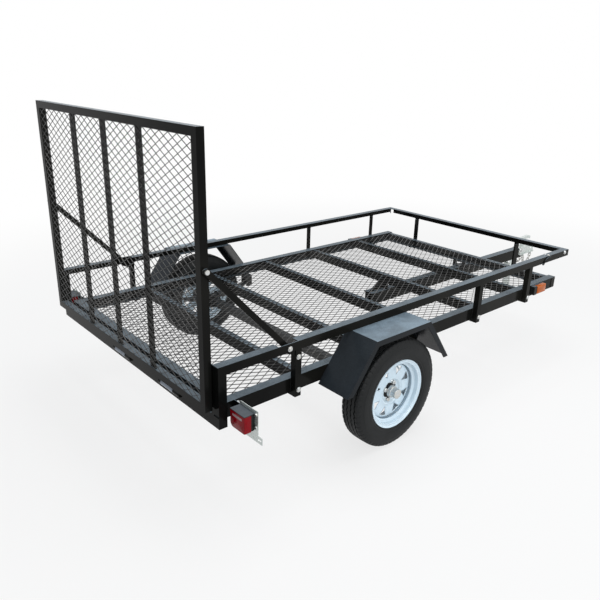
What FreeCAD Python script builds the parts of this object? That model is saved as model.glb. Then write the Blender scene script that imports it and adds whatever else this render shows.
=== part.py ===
"""Single-axle utility trailer with a mesh deck, a rail on three sides and a mesh ramp gate.

Frame: +X forward to the coupler, +Y left, +Z up, millimetres, ground at Z = 0.
Pieces are drawn with X = 0 at the rear face of the rear beam, then all move together so that
the origin is on the ground under the middle of the overall length.
"""
import FreeCAD, Part
import math
import os

V = FreeCAD.Vector

# ---------------------------------------------------------------- driving sizes
steel = 4.0                # wall of the frame's rolled sections
sheet = 2.5                # fender and lamp bracket sheet
seat_gap = 0.3             # clearance between curved faces that only touch
move_gap = 7.0             # clearance between the gate and the frame

deck_length = 2560.0       # rear beam's rear face to the front member's front face
deck_width = 1396.0        # over the outer faces of the side rails
deck_height = 452.0        # top of the side rails above the ground
rail_height = 66.0
rail_flange = 44.0
rail_foot = 30.0           # side rail's lower flange
mesh_thick = 3.0
mesh_border = 14.0         # plain edge round a mesh sheet
mesh_strand = 9.0
mesh_short = 20.0          # deck mesh short of the front member's front edge
deck_diamond = (90.0, 160.0)   # pitch across the trailer, pitch along it
gate_diamond = (90.0, 160.0)   # pitch up the gate, pitch across it

stake_width = 32.0         # stake posts, along the rail
stake_depth = 34.0         # stake posts, out from the side rail
stake_drop = 12.0          # foot of a post below the side rail
top_rail_height = 630.0    # top of the upper rail above the ground
top_rail_leg = 38.0        # both legs of the upper rail's angle
front_standoff = 46.0      # upper front rail ahead of the front member
hook_reach = 16.0          # foot of a post under the deck rail

# stake posts' middles ahead of the rear beam
post_rear = 395.0
post_middle_right = 1688.0
post_middle_left = 1745.0
post_front_right = 2188.0
post_front_left = 2385.0
front_post_ys = (-382.0, 455.0)   # posts on the front member, right and left

rear_beam_height = 50.0
rear_beam_depth = 38.0
rear_beam_bottom = 369.0
upright_leg = 50.0         # rear upright's leg across the trailer

member_flange = 30.0       # deck crossmembers' flanges
member_count = 5
member_first = 470.0       # front edge of the rearmost crossmember
member_last = 2197.0       # front edge of the foremost crossmember

gate_width = 1400.0
gate_top = 1480.0
gate_bar = 32.0            # square tube of the gate's frame
gate_bottom = 442.0
gate_upright_width = 46.0
gate_upright_depth = 24.0
gate_upright_spacing = 300.0

hinge_behind = 13.0        # hinge axis behind the rear beam
hinge_height = 412.0
hinge_pin_r = 6.0
hinge_barrel_r = 12.0
hinge_barrel_length = 96.0
hinge_middle_y = 89.0      # left ends of the two barrels
hinge_right_y = -333.0
knuckle_right = 42.0       # gate's knuckles right and left of a barrel
knuckle_left = 14.0
knuckle_gap = 2.0
pin_gap = 0.1
mesh_set_in = 1.0          # gate's mesh ahead of its rear face

brace_width = 25.0
brace_thick = 5.0
brace_pivot_height = 997.0
brace_foot_x = 345.0
brace_foot_drop = 23.0     # foot bolt below the top of the upper rail
brace_bolt_r = 5.0
brace_head_r = 9.0
brace_standoff = 8.0       # brace out from the side of the gate
pivot_gap = 1.0
pivot_head = 6.0
notch_behind = 57.0        # notch in the upper rail, behind and ahead of the foot bolt
notch_ahead = 43.0
anchor_width = 24.0        # plate from the foot bolt down to the rear post
anchor_thick = 3.0
anchor_fall = 24.0

wheel_x = 893.0            # axle line ahead of the rear beam
tyre_radius = 265.0
tyre_width = 120.0
tyre_inset = 45.0          # tyre's inner side out from the side rail
tyre_widest = 0.6          # where the wall is widest, as a share of its height
tyre_tread = 0.74          # tread's width as a share of the tyre's
rim_radius = 168.0
rim_half = 54.0            # outer faces of the rim's flanges from the wheel's middle plane
rim_wall = 4.0
rim_bed = 154.0            # bead seat
rim_well = 139.0
# shares of the half width where the well ends and where the bead seat starts, outside and inside
rim_well_share = (0.4, 0.43)
rim_bed_share = (0.52, 0.55)
disc_seat = 0.0            # hub's face out from the wheel's middle plane
disc_wall = 4.0
disc_bore = 31.0
disc_edge = 4.0            # disc's outer edge ahead of its seat
# crown of the disc: radius, distance ahead of its seat
disc_crown = ((124.0, 5.0), (104.0, 6.0), (76.0, 6.0), (62.0, 10.0), (54.0, 0.0))
window_count = 8
window_inner = 80.0
window_outer = 123.0
window_half_angle = 11.5
stud_count = 4
stud_circle = 42.0
stud_r = 5.0
nut_r = 9.5
nut_height = 14.0
hub_radius = 58.0
hub_barrel_r = 28.0
hub_depth = 38.0           # hub behind its face
hub_flange = 20.0
hub_nose = 26.0            # hub ahead of its face
cap_r = 24.0
cap_length = 29.0
spindle_r = 15.0
axle_size = 42.0
spring_length = 520.0
spring_leaf = 6.5
spring_width = 45.0
spring_sag = 34.0
spring_inset = 40.0        # spring's middle inward from the side rail's outer face
spring_eye_r = 15.0
spring_bore_r = 8.0
hanger_plate = 4.0
hanger_width = 44.0
hanger_gap = 1.0           # cheek beside the spring

fender_x = 878.0           # fender's middle, a little behind the axle
fender_width = 182.0
fender_top_half = 179.0
fender_foot_half = 340.0
fender_foot = 372.0
fender_lip = 26.0

tongue_height = 76.0
tongue_width = 51.0
tongue_wall = 3.0
tongue_drop = 34.0         # top of the tongue below the side rails
tongue_rear = 1600.0
tongue_reach = 770.0       # tongue's front end ahead of the front member
saddle_width = 76.0
saddle_length = 44.0
coupler_length = 230.0
coupler_overlap = 40.0     # coupler's rear end behind the tongue's front end
coupler_wall = 4.0
coupler_lift = 24.0        # coupler's lower edge above the tongue's underside
coupler_lip = 10.0
socket_radius = 36.0
socket_lip_radius = 42.0
ball_radius = 25.4
ball_clearance = 1.2
ball_lift = 22.0           # ball's middle above the coupler's lower edge
latch_ahead = 27.0        # lever's rear end ahead of the coupler's
latch_length = 145.0       # lever on the coupler, along the trailer
latch_height = 68.0        # lever's rear end above the coupler
lever_width = 24.0
lever_depth = 22.0
lever_rise = 9.0           # lever's highest fold above its rear end
lever_fold = 118.0         # that fold ahead of its rear end
lever_dip = 8.0            # grip's front end below the fold
latch_post = 16.0          # width of the post under the lever
latch_post_length = 34.0
jack_pivot_drop = 50.0
jack_pin_r = 6.0
jack_leg_size = 40.0
jack_head = 15.0           # leg above its pivot
jack_foot_size = 110.0
jack_foot_thick = 6.0
jack_foot_ahead = 12.0     # foot's middle ahead of the leg's
jack_behind = 120.0        # jack's pivot behind the tongue's front end
jack_ear = 5.0
jack_ear_gap = 1.0

lamp_x = 42.0              # rear face of the tail lamp ahead of the rear beam
lamp_depth = 50.0
lamp_width = 93.0
lamp_height = 76.0
lamp_bottom = 380.0
lamp_gap = 10.0            # lamp out from the stake posts' face
lamp_corner = 20.0         # cut off the lens's lower inner corner
lamp_plate_beside = 17.0   # bracket's plate outward past the lamp
lamp_plate_above = 13.0    # and above it
lamp_arm_height = 34.0     # arm from the side rail to the plate
lamp_arm_foot = 30.0       # arm's foot along the rail
plate_tab_height = 30.0    # licence-plate tab below the lamp
plate_tab_drop = 14.0      # lamp's underside down to the tab
plate_tab_inside = 58.0    # tab inward and outward from the lamp's outer side
plate_tab_outside = 42.0
plate_slot_width = 8.0
plate_slot_length = 22.0
marker_length = 130.0
marker_height = 54.0
marker_depth = 30.0
marker_drop = 2.0          # marker's top below the rail's
marker_right_x = 2336.0
marker_left_x = 2205.0

link_length = 38.0
link_width = 25.0
link_wire_r = 3.0
link_slack = 3.4           # play between two links
link_corners = (0.5, 0.2)  # cut corners outside and inside, as shares of the link's half width
link_count = 9
chain_ahead = 15.0         # rear chain eye ahead of the tongue's front end
chain_span = 110.0
eye_ring_r = 9.0
eye_leg = 6.0

# ---------------------------------------------------------------- worked out
side_y = deck_width / 2
stake_y = side_y + stake_depth
deck_bottom = deck_height - rail_height
mesh_top = deck_height - steel
member_top = mesh_top - mesh_thick
rear_beam_top = rear_beam_bottom + rear_beam_height
gate_front = -move_gap
gate_rear = gate_front - gate_bar
gate_y = gate_width / 2
member_bottom = deck_bottom + steel
member_pitch = (member_last - member_first) / (member_count - 1)
brace_foot_height = top_rail_height - brace_foot_drop
fender_top = top_rail_height - top_rail_leg
rail_front = deck_length - rail_flange
tongue_top = deck_bottom - tongue_drop
tongue_bottom = tongue_top - tongue_height
tongue_front = deck_length + tongue_reach
wheel_y = side_y + tyre_inset + tyre_width / 2
axle_z = tyre_radius
front_x = deck_length + front_standoff
spring_y = side_y - spring_inset
rear_reach = gate_rear
coupler_rear = tongue_front - coupler_overlap
front_reach = coupler_rear + coupler_length
shift_x = -(rear_reach + front_reach) / 2

os.makedirs("parts", exist_ok=True)


def save(name, *solids):
    """Move the solids to the trailer's origin and write them as one node."""
    shape = solids[0] if len(solids) == 1 else Part.Compound(list(solids))
    shape = shape.copy()
    shape.translate(V(shift_x, 0, 0))
    shape.exportStep("parts/" + name + ".step")


def box(x0, x1, y0, y1, z0, z1):
    return Part.makeBox(x1 - x0, y1 - y0, z1 - z0, V(x0, y0, z0))


def rod(radius, start, end):
    """A round bar from one point to another."""
    path = V(*end) - V(*start)
    return Part.makeCylinder(radius, path.Length, V(*start), path)


def across(radius, x, z, y0, y1):
    """A round bar parallel to the wheels' axle."""
    return rod(radius, (x, y0, z), (x, y1, z))


def prism(points, path):
    """A flat outline of straight sides, carried along a vector."""
    corners = [V(*p) for p in points]
    wire = Part.makePolygon(corners + [corners[0]])
    return Part.Face(wire).extrude(V(*path))


def fuse(*solids):
    return solids[0].multiFuse(list(solids[1:])).removeSplitter()


def mirror_y(shape):
    return shape.mirror(V(0, 0, 0), V(0, 1, 0))


def both_sides(name, shape):
    """Write the right-hand piece and the left-hand one that mirrors it."""
    save(name + "_right", shape)
    save(name + "_left", mirror_y(shape))


# ---------------------------------------------------------------- deck frame
def side_rail():
    """Right side rail: a channel open inward, its lower flange stopping behind the front member."""
    back = rear_beam_depth
    web = box(back, deck_length, -side_y, -side_y + steel, deck_bottom, deck_height)
    flange = box(back, deck_length, -side_y, -side_y + rail_flange, mesh_top, deck_height)
    foot = box(back, rail_front, -side_y, -side_y + rail_foot, deck_bottom, member_bottom)
    return fuse(web, flange, foot)


def channel_across(x_web, toward, half_width, bottom, top, flange):
    """A channel across the trailer: web at x_web, flanges toward +1 (front) or -1 (rear)."""
    outline = [(0, bottom), (flange, bottom), (flange, bottom + steel), (steel, bottom + steel),
               (steel, top - steel), (flange, top - steel), (flange, top), (0, top)]
    points = [(x_web + toward * x, -half_width, z) for x, z in outline]
    return prism(points, (0, 2 * half_width, 0))


both_sides("side_rail", side_rail())
save("front_member",
     channel_across(deck_length, -1, side_y - steel, member_bottom, member_top, rail_flange))
members = []
for number in range(member_count):
    web_x = member_first + number * member_pitch - member_flange
    members.append(channel_across(web_x, 1, side_y - steel, member_bottom, member_top,
                                  member_flange))
save("crossmembers", *members)

save("rear_beam", channel_across(0, 1, stake_y - steel, rear_beam_bottom, rear_beam_top,
                                 rear_beam_depth))
sill_leg = box(rear_beam_depth - steel, rear_beam_depth, -side_y, side_y, rear_beam_top, deck_height)
sill_half = side_y - rail_flange
sill_front = rear_beam_depth + rail_flange - steel
sill_flange = box(rear_beam_depth, sill_front, -sill_half, sill_half, mesh_top, deck_height)
save("rear_sill", fuse(sill_leg, sill_flange))

upright_top = top_rail_height - top_rail_leg
upright_side = box(0, rear_beam_depth, -stake_y, -stake_y + steel, rear_beam_bottom, upright_top)
upright_rear = box(0, steel, -stake_y, -stake_y + upright_leg, rear_beam_top, top_rail_height)
upright = fuse(upright_side, upright_rear)
save("rear_uprights", upright, mirror_y(upright))


# ---------------------------------------------------------------- upper rail and stake posts
def top_rail_wall():
    """Right upper rail's outer leg, with the hole for the foot bolt of the gate's brace."""
    inside = -stake_y + steel
    leg = box(steel, front_x, -stake_y, inside, upright_top, top_rail_height)
    return leg.cut(across(brace_bolt_r + seat_gap, brace_foot_x, brace_foot_height, -stake_y, inside))


def top_rail_flange():
    """Right upper rail's flange: two strips, either side of the notch that the brace drops through."""
    ends = ((steel, brace_foot_x - notch_behind), (brace_foot_x + notch_ahead, front_x))
    low = top_rail_height - steel
    return [box(x0, x1, -stake_y + steel, -stake_y + top_rail_leg, low, top_rail_height) for x0, x1 in ends]


both_sides("top_rail", top_rail_wall())
save("top_rail_flange_right", *top_rail_flange())
save("top_rail_flange_left", *[mirror_y(strip) for strip in top_rail_flange()])

front_half = stake_y - top_rail_leg
leg = box(front_x - steel, front_x, -front_half, front_half, upright_top, top_rail_height)
flange = box(front_x - top_rail_leg, front_x, -front_half, front_half,
             top_rail_height - steel, top_rail_height)
save("top_rail_front", fuse(leg, flange))


def side_post(x):
    """A stake post on the right side rail: an angle whose foot hooks under the rail."""
    y_out = -stake_y + steel
    foot = deck_bottom - stake_drop
    back = x - stake_width / 2
    front = x + stake_width / 2
    face = box(back, front, y_out, y_out + steel, foot, top_rail_height - steel)
    web = box(back, back + steel, y_out, -side_y, foot, upright_top)
    hook = box(back, front, y_out, -side_y + hook_reach, foot, deck_bottom)
    return fuse(face, web, hook)


def front_post(y):
    """A stake post on the front member."""
    x_out = front_x - steel
    foot = member_bottom - stake_drop
    right = y - stake_width / 2
    left = y + stake_width / 2
    face = box(x_out - steel, x_out, right, left, foot, top_rail_height - steel)
    web = box(deck_length, x_out, right, right + steel, foot, upright_top)
    hook = box(deck_length - hook_reach, x_out, right, left, foot, member_bottom)
    return fuse(face, web, hook)


right_posts = (post_rear, post_middle_right, post_front_right)
left_posts = (post_rear, post_middle_left, post_front_left)
save("stake_posts_right", *[side_post(x) for x in right_posts])
save("stake_posts_left", *[mirror_y(side_post(x)) for x in left_posts])
save("stake_posts_front", *[front_post(y) for y in front_post_ys])


def brace_anchor():
    """Plate from under the gate brace's foot down to the rear post, welded to the post's web."""
    y = -stake_y + 2 * steel
    post_back = post_rear - stake_width / 2
    slope = math.atan2(anchor_fall, post_rear - brace_foot_x)
    half = anchor_width / 2
    plate = box(0, stake_width + half, y, y + anchor_thick, -half, half)
    plate = fuse(plate, across(half, 0, 0, y, y + anchor_thick))
    plate.rotate(V(0, 0, 0), V(0, 1, 0), math.degrees(slope))
    plate.translate(V(brace_foot_x, 0, brace_foot_height - half))
    behind_post = box(0, post_back, y, y + anchor_thick, deck_height, top_rail_height)
    hole = across(brace_bolt_r + seat_gap, brace_foot_x, brace_foot_height, y, y + anchor_thick)
    return plate.common(behind_post).cut(hole)


anchor = brace_anchor()
save("brace_anchors", anchor, mirror_y(anchor))


# ---------------------------------------------------------------- expanded mesh
def mesh_sheet(along, wide, pitch):
    """A flat sheet with staggered diamond holes, its corner at the origin, in the XY plane."""
    pitch_along, pitch_wide = pitch
    rows = int((wide - 2 * mesh_border) / (pitch_wide / 2)) - 1
    columns = int((along - 2 * mesh_border) / pitch_along)
    start_along = (along - (columns - 1) * pitch_along) / 2
    start_wide = (wide - (rows - 1) * pitch_wide / 2) / 2
    half_along = pitch_along / 2 - mesh_strand
    half_wide = half_along * pitch_wide / pitch_along
    outline = [V(0, 0, 0), V(along, 0, 0), V(along, wide, 0), V(0, wide, 0), V(0, 0, 0)]
    wires = [Part.makePolygon(outline)]
    for row in range(rows):
        odd = row % 2
        for column in range(columns - odd):
            a = start_along + (column + odd / 2) * pitch_along
            w = start_wide + row * pitch_wide / 2
            wires.append(Part.makePolygon([V(a - half_along, w, 0), V(a, w + half_wide, 0),
                                           V(a + half_along, w, 0), V(a, w - half_wide, 0),
                                           V(a - half_along, w, 0)]))
    return Part.Face(wires).extrude(V(0, 0, mesh_thick))


deck_inner = side_y - steel
deck_sheet_front = deck_length - mesh_short
deck_sheet = mesh_sheet(2 * deck_inner, deck_sheet_front - rear_beam_depth, deck_diamond)
deck_sheet.rotate(V(0, 0, 0), V(0, 0, 1), 90)
deck_sheet.translate(V(deck_sheet_front, -deck_inner, member_top))
save("deck_mesh", deck_sheet)

# ---------------------------------------------------------------- tongue
half = tongue_width / 2
tube = box(tongue_rear, tongue_front, -half, half, tongue_bottom, tongue_top)
bore = box(tongue_rear, tongue_front, -half + tongue_wall, half - tongue_wall,
           tongue_bottom + tongue_wall, tongue_top - tongue_wall)
save("tongue_beam", tube.cut(bore))

# saddle: a short channel between the front member and the tongue; cleat: an angle up to a crossmember
saddle_rear = deck_length - saddle_length
saddle_half = saddle_width / 2
saddle_in = saddle_half - steel
saddle_walls = box(saddle_rear, deck_length, -saddle_half, saddle_half, tongue_top, member_bottom)
saddle_hollow = box(saddle_rear, deck_length, -saddle_in, saddle_in,
                    tongue_top + steel, member_bottom - steel)
cleat_front = member_first + (member_count - 2) * member_pitch - member_flange
cleat_back = cleat_front - steel
cleat_low = tongue_top + steel
cleat_foot = box(tongue_rear, cleat_front, -saddle_half, saddle_half, tongue_top, cleat_low)
cleat_leg = box(cleat_back, cleat_front, -saddle_half, saddle_half, tongue_top, member_top)
cleat_side = [(tongue_rear, cleat_low), (cleat_back, cleat_low), (cleat_back, member_top)]
cleat_rib = prism([(x, -steel / 2, z) for x, z in cleat_side], (0, steel, 0))
save("tongue_brackets", saddle_walls.cut(saddle_hollow), fuse(cleat_foot, cleat_leg, cleat_rib))


# ---------------------------------------------------------------- coupler
coupler_low = tongue_bottom + coupler_lift
coupler_top = tongue_top + coupler_wall
coupler_half = tongue_width / 2 + coupler_wall
socket_x = coupler_rear + coupler_length - socket_lip_radius
ball_z = coupler_low + ball_lift
ball_space = ball_radius + ball_clearance


def coupler_channel():
    """Rear part of the pressed coupler: a channel over the tongue, lipped at its lower edges."""
    shell = box(coupler_rear, socket_x, -coupler_half, coupler_half, coupler_low, coupler_top)
    lip = box(coupler_rear, socket_x, -coupler_half - coupler_lip, coupler_half + coupler_lip,
              coupler_low, coupler_low + coupler_wall)
    room = box(coupler_rear, socket_x, -tongue_width / 2, tongue_width / 2, coupler_low, tongue_top)
    nose = Part.makeCylinder(socket_lip_radius, coupler_top, V(socket_x, 0, 0))
    return fuse(shell, lip).cut(room).cut(nose)


def coupler_socket():
    """Nose of the coupler: a domed cup over the ball with a lip round its mouth."""
    skirt = Part.makeCylinder(socket_radius, ball_lift, V(socket_x, 0, coupler_low))
    dome = Part.makeSphere(socket_radius, V(socket_x, 0, ball_z))
    upper = box(socket_x - socket_radius, socket_x + socket_radius, -socket_radius, socket_radius,
                ball_z, ball_z + socket_radius)
    dome = dome.common(upper)
    lip = Part.makeCylinder(socket_lip_radius, coupler_wall, V(socket_x, 0, coupler_low))
    neck = box(socket_x - socket_lip_radius, socket_x, -coupler_half, coupler_half, tongue_top, coupler_top)
    neck = neck.common(Part.makeCylinder(socket_lip_radius, coupler_top, V(socket_x, 0, 0)))
    ball = Part.makeSphere(ball_space, V(socket_x, 0, ball_z))
    mouth = Part.makeCylinder(ball_space, ball_lift, V(socket_x, 0, coupler_low))
    return fuse(skirt, dome, lip, neck).cut(ball).cut(mouth)


save("coupler", coupler_channel())
save("coupler_socket", coupler_socket())

# latch: a post on the coupler's top and a folded lever that lies along it, its grip turned down
latch_rear = coupler_rear + latch_ahead
latch_top = coupler_top + latch_height
lever_side = [(0, latch_top), (lever_fold, latch_top + lever_rise),
              (latch_length, latch_top + lever_rise - lever_dip),
              (latch_length, latch_top + lever_rise - lever_dip - lever_depth),
              (lever_fold, latch_top + lever_rise - lever_depth), (0, latch_top - lever_depth)]
lever = prism([(latch_rear + x, -lever_width / 2, z) for x, z in lever_side], (0, lever_width, 0))
post_back = latch_rear + latch_post_length
post_front = post_back + latch_post_length
post = box(post_back, post_front, -latch_post / 2, latch_post / 2, coupler_top, latch_top)
save("coupler_latch", fuse(post, lever))

# ---------------------------------------------------------------- parking jack
jack_x = tongue_front - jack_behind
jack_pivot_z = tongue_bottom - jack_pivot_drop
leg_half = jack_leg_size / 2
ear_in = leg_half + jack_ear_gap
ear_out = ear_in + jack_ear
ear_half = leg_half + jack_ear
ear_back = jack_x - ear_half
ear_front = jack_x + ear_half
ear = box(ear_back, ear_front, -ear_out, -ear_in, jack_pivot_z - leg_half, tongue_bottom)
bridge = box(ear_back, ear_front, -ear_out, ear_out, tongue_bottom - jack_ear, tongue_bottom)
pin = across(jack_pin_r, jack_x, jack_pivot_z, -ear_out - jack_ear, ear_out + jack_ear)
save("jack_bracket", fuse(ear, mirror_y(ear), bridge, pin))

leg = box(jack_x - leg_half, jack_x + leg_half, -leg_half, leg_half,
          jack_foot_thick, jack_pivot_z + jack_head)
save("jack_leg", leg.cut(across(jack_pin_r + seat_gap, jack_x, jack_pivot_z, -leg_half, leg_half)))
foot_x = jack_x + jack_foot_ahead
foot_half = jack_foot_size / 2
save("jack_foot", box(foot_x - foot_half, foot_x + foot_half, -foot_half, foot_half, 0, jack_foot_thick))


# ---------------------------------------------------------------- axle and springs
spring_half = spring_length / 2
spring_seat = axle_z + axle_size / 2
spring_eye_z = spring_seat + spring_sag + 2 * spring_leaf
# leaves from the axle up: share of the spring's half length
leaf_shares = (0.42, 0.72, 1.0)


def leaf_spring():
    """Right spring: three arched leaves lying on the axle, the top one carried to two eyes."""
    radius = (spring_half ** 2 + spring_sag ** 2) / (2 * spring_sag)
    y0 = -spring_y - spring_width / 2
    y1 = y0 + spring_width
    centre = V(wheel_x, y0, spring_seat + radius)
    leaves = []
    for layer, share in enumerate(leaf_shares):
        outer = radius - layer * spring_leaf
        leaf = Part.makeCylinder(outer, spring_width, centre, V(0, 1, 0))
        leaf = leaf.cut(Part.makeCylinder(outer - spring_leaf, spring_width, centre, V(0, 1, 0)))
        reach = spring_half * share
        leaves.append(leaf.common(box(wheel_x - reach, wheel_x + reach, y0, y1, spring_seat, deck_bottom)))
    eyes = [across(spring_eye_r, wheel_x + end * spring_half, spring_eye_z, y0, y1) for end in (-1, 1)]
    spring = fuse(*leaves, *eyes)
    for end in (-1, 1):
        spring = spring.cut(across(spring_bore_r, wheel_x + end * spring_half, spring_eye_z, y0, y1))
    return spring


spring = leaf_spring()
save("leaf_springs", spring, mirror_y(spring))


def spring_hanger(x):
    """A pad under the right side rail, two cheeks and the bolt through the spring's eye."""
    half = hanger_width / 2
    inside = spring_width / 2 + hanger_gap
    outside = inside + hanger_plate
    solids = [box(x - half, x + half, -spring_y - outside, -spring_y + outside,
                  deck_bottom - hanger_plate, deck_bottom)]
    for y0 in (-spring_y - outside, -spring_y + inside):
        solids.append(box(x - half, x + half, y0, y0 + hanger_plate,
                          spring_eye_z - spring_eye_r, deck_bottom))
    solids.append(across(spring_bore_r - seat_gap, x, spring_eye_z,
                         -spring_y - outside - hanger_plate, -spring_y + outside + hanger_plate))
    return fuse(*solids)


hangers = [spring_hanger(wheel_x + end * spring_half) for end in (-1, 1)]
save("spring_hangers", *hangers, *[mirror_y(hanger) for hanger in hangers])

axle_half = wheel_y + disc_seat - hub_depth - seat_gap
square = box(wheel_x - axle_size / 2, wheel_x + axle_size / 2, -axle_half, axle_half,
             axle_z - axle_size / 2, axle_z + axle_size / 2)
spindle_reach = wheel_y + disc_seat
save("axle", fuse(square, across(spindle_r, wheel_x, axle_z, -spindle_reach, spindle_reach)))

# ---------------------------------------------------------------- wheels
tyre_half = tyre_width / 2
tyre_outline = [
    # radius, distance from the wheel's middle plane
    (rim_radius + seat_gap, rim_half),
    (rim_radius + (tyre_radius - rim_radius) * tyre_widest, tyre_half),
    (tyre_radius, tyre_half * tyre_tread)]


def ring(outline, y_mid):
    """Turn a closed outline of (radius, offset) about the axle."""
    corners = [V(wheel_x + r, y_mid + y, axle_z) for r, y in outline]
    wire = Part.makePolygon(corners + [corners[0]])
    return Part.Face(wire).revolve(V(wheel_x, 0, axle_z), V(0, 1, 0), 360)


def tyre(y_mid):
    left = [(r, -y) for r, y in reversed(tyre_outline)]
    return ring(tyre_outline + left, y_mid)


def rim(y_mid, out):
    """Rim with a drop centre, a dished disc and triangular windows; out is -1 on the right side."""
    # outer outline of one half: radius, distance from the wheel's middle plane
    half_outline = [(rim_well, rim_half * rim_well_share[0]), (rim_bed, rim_half * rim_bed_share[0]),
                    (rim_bed, rim_half - rim_wall), (rim_radius, rim_half - rim_wall),
                    (rim_radius, rim_half), (rim_bed - rim_wall, rim_half),
                    (rim_bed - rim_wall, rim_half * rim_bed_share[1]),
                    (rim_well - rim_wall, rim_half * rim_well_share[1])]
    barrel = ring(half_outline + [(r, -y) for r, y in reversed(half_outline)], y_mid)
    face = disc_seat + disc_wall
    front = [(rim_well - rim_wall / 2, disc_edge), *disc_crown, (disc_bore, 0.0)]
    dish = [(r, out * (face + y)) for r, y in front]
    dish += [(r, out * (face + y - disc_wall)) for r, y in reversed(front)]
    body = fuse(barrel, ring(dish, y_mid))
    y0 = y_mid - tyre_half
    window_corners = ((window_inner, 0.0), (window_outer, window_half_angle),
                      (window_outer, -window_half_angle))
    for step in range(window_count):
        middle = 360.0 / window_count * (step + 0.5)
        corners = []
        for r, turn in window_corners:
            a = math.radians(middle + turn)
            corners.append((wheel_x + r * math.cos(a), y0, axle_z + r * math.sin(a)))
        body = body.cut(prism(corners, (0, tyre_width, 0)))
    for x, z in stud_places():
        body = body.cut(across(stud_r + seat_gap, x, z, y0, y0 + tyre_width))
    return body


def stud_places():
    angles = [math.radians(360.0 / stud_count * (step + 0.75)) for step in range(stud_count)]
    return [(wheel_x + stud_circle * math.cos(a), axle_z + stud_circle * math.sin(a)) for a in angles]


def hub(y_mid, out):
    """Hub: a flange against the disc, a barrel through the disc's bore and the bearing bore."""
    seat = y_mid + out * disc_seat
    back = seat - out * hub_depth
    nose = seat + out * hub_nose
    body = fuse(across(hub_radius, wheel_x, axle_z, seat - out * hub_flange, seat),
                across(hub_barrel_r, wheel_x, axle_z, back, nose))
    return body.cut(across(spindle_r + seat_gap, wheel_x, axle_z, back, seat + out * seat_gap))


def wheel_fixings(y_mid, out):
    """Dust cap on the hub's nose, and a stud with its nut at each place."""
    seat = y_mid + out * disc_seat
    nose = seat + out * hub_nose
    solids = [across(cap_r, wheel_x, axle_z, nose, nose + out * cap_length)]
    face = seat + out * disc_wall
    for x, z in stud_places():
        stud = across(stud_r, x, z, seat, face + out * nut_height)
        solids.append(fuse(stud, across(nut_r, x, z, face, face + out * nut_height)))
    return solids


for side, out in (("right", -1), ("left", 1)):
    save("tyre_" + side, tyre(out * wheel_y))
    save("rim_" + side, rim(out * wheel_y, out))
    save("hub_" + side, hub(out * wheel_y, out))
    save("wheel_fixings_" + side, *wheel_fixings(out * wheel_y, out))


# ---------------------------------------------------------------- fenders
def fender():
    """Right fender: folded sheet with two slopes, a flat top and a lip turned down outside."""
    slope = math.atan2(fender_top - fender_foot, fender_foot_half - fender_top_half)

    def outline(inward):
        """The fender's side view, moved in by a distance, its feet still on the foot's level."""
        run = inward / math.sin(slope)
        bend = inward * math.tan(slope / 2)
        foot = fender_foot_half - run
        top = fender_top_half - bend
        z = fender_top - inward
        return [(-foot, fender_foot), (-top, z), (top, z), (foot, fender_foot)]

    y_out = -side_y - fender_width
    shell = [(fender_x + x, -side_y, z) for x, z in outline(0) + outline(sheet)[::-1]]
    edge = [(fender_x + x, y_out, z) for x, z in outline(0) + outline(fender_lip)[::-1]]
    return fuse(prism(shell, (0, -fender_width, 0)), prism(edge, (0, sheet, 0)))


both_sides("fender", fender())


# ---------------------------------------------------------------- gate
bar_y = gate_y - gate_bar
post = box(gate_rear, gate_front, bar_y, gate_y, gate_bottom, gate_top)
top_bar = box(gate_rear, gate_front, -bar_y, bar_y, gate_top - gate_bar, gate_top)
low_bar = box(gate_rear, gate_front, -bar_y, bar_y, gate_bottom, gate_bottom + gate_bar)
save("gate_frame", fuse(post, mirror_y(post), top_bar, low_bar))

sheet_low = gate_bottom + gate_bar
sheet_high = gate_top - gate_bar
sheet_front = gate_rear + mesh_set_in + mesh_thick
uprights = []
for place in (-1, 0, 1):
    y_mid = place * gate_upright_spacing
    y0 = y_mid - gate_upright_width / 2
    y1 = y_mid + gate_upright_width / 2
    face = box(sheet_front, sheet_front + steel, y0, y1, sheet_low, sheet_high)
    rib = box(sheet_front, sheet_front + gate_upright_depth, y1 - steel, y1, sheet_low, sheet_high)
    uprights.append(fuse(face, rib))
save("gate_uprights", *uprights)

gate_sheet = mesh_sheet(sheet_high - sheet_low, 2 * bar_y, gate_diamond)
gate_sheet.rotate(V(0, 0, 0), V(0, 1, 0), -90)
gate_sheet.translate(V(sheet_front, -bar_y, sheet_low))
save("gate_mesh", gate_sheet)

barrels = []
knuckles = []
for y in (hinge_middle_y, hinge_right_y):
    low = y - hinge_barrel_length
    barrel = across(hinge_barrel_r, -hinge_behind, hinge_height, low, y)
    pad_half = hinge_barrel_r / 2
    pad = box(-hinge_behind, 0, low, y, hinge_height - pad_half, hinge_height + pad_half)
    bore = across(hinge_pin_r + pin_gap, -hinge_behind, hinge_height, low, y)
    barrels.append(fuse(barrel, pad).cut(bore))
    right = low - knuckle_gap - knuckle_right
    left = y + knuckle_gap + knuckle_left
    solids = [across(hinge_pin_r, -hinge_behind, hinge_height, right, left)]
    for y0, y1 in ((right, right + knuckle_right), (left - knuckle_left, left)):
        solids.append(across(hinge_barrel_r, -hinge_behind, hinge_height, y0, y1))
        solids.append(box(-hinge_behind - hinge_pin_r, -hinge_behind + hinge_pin_r, y0, y1,
                          hinge_height, gate_bottom))
    knuckles.append(fuse(*solids))
save("hinge_barrels", *barrels)
save("gate_hinges", *knuckles)

# ---------------------------------------------------------------- gate braces
brace_top_x = (gate_front + gate_rear) / 2
brace_in = -gate_y - brace_standoff
brace_out = brace_in - brace_thick


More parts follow.
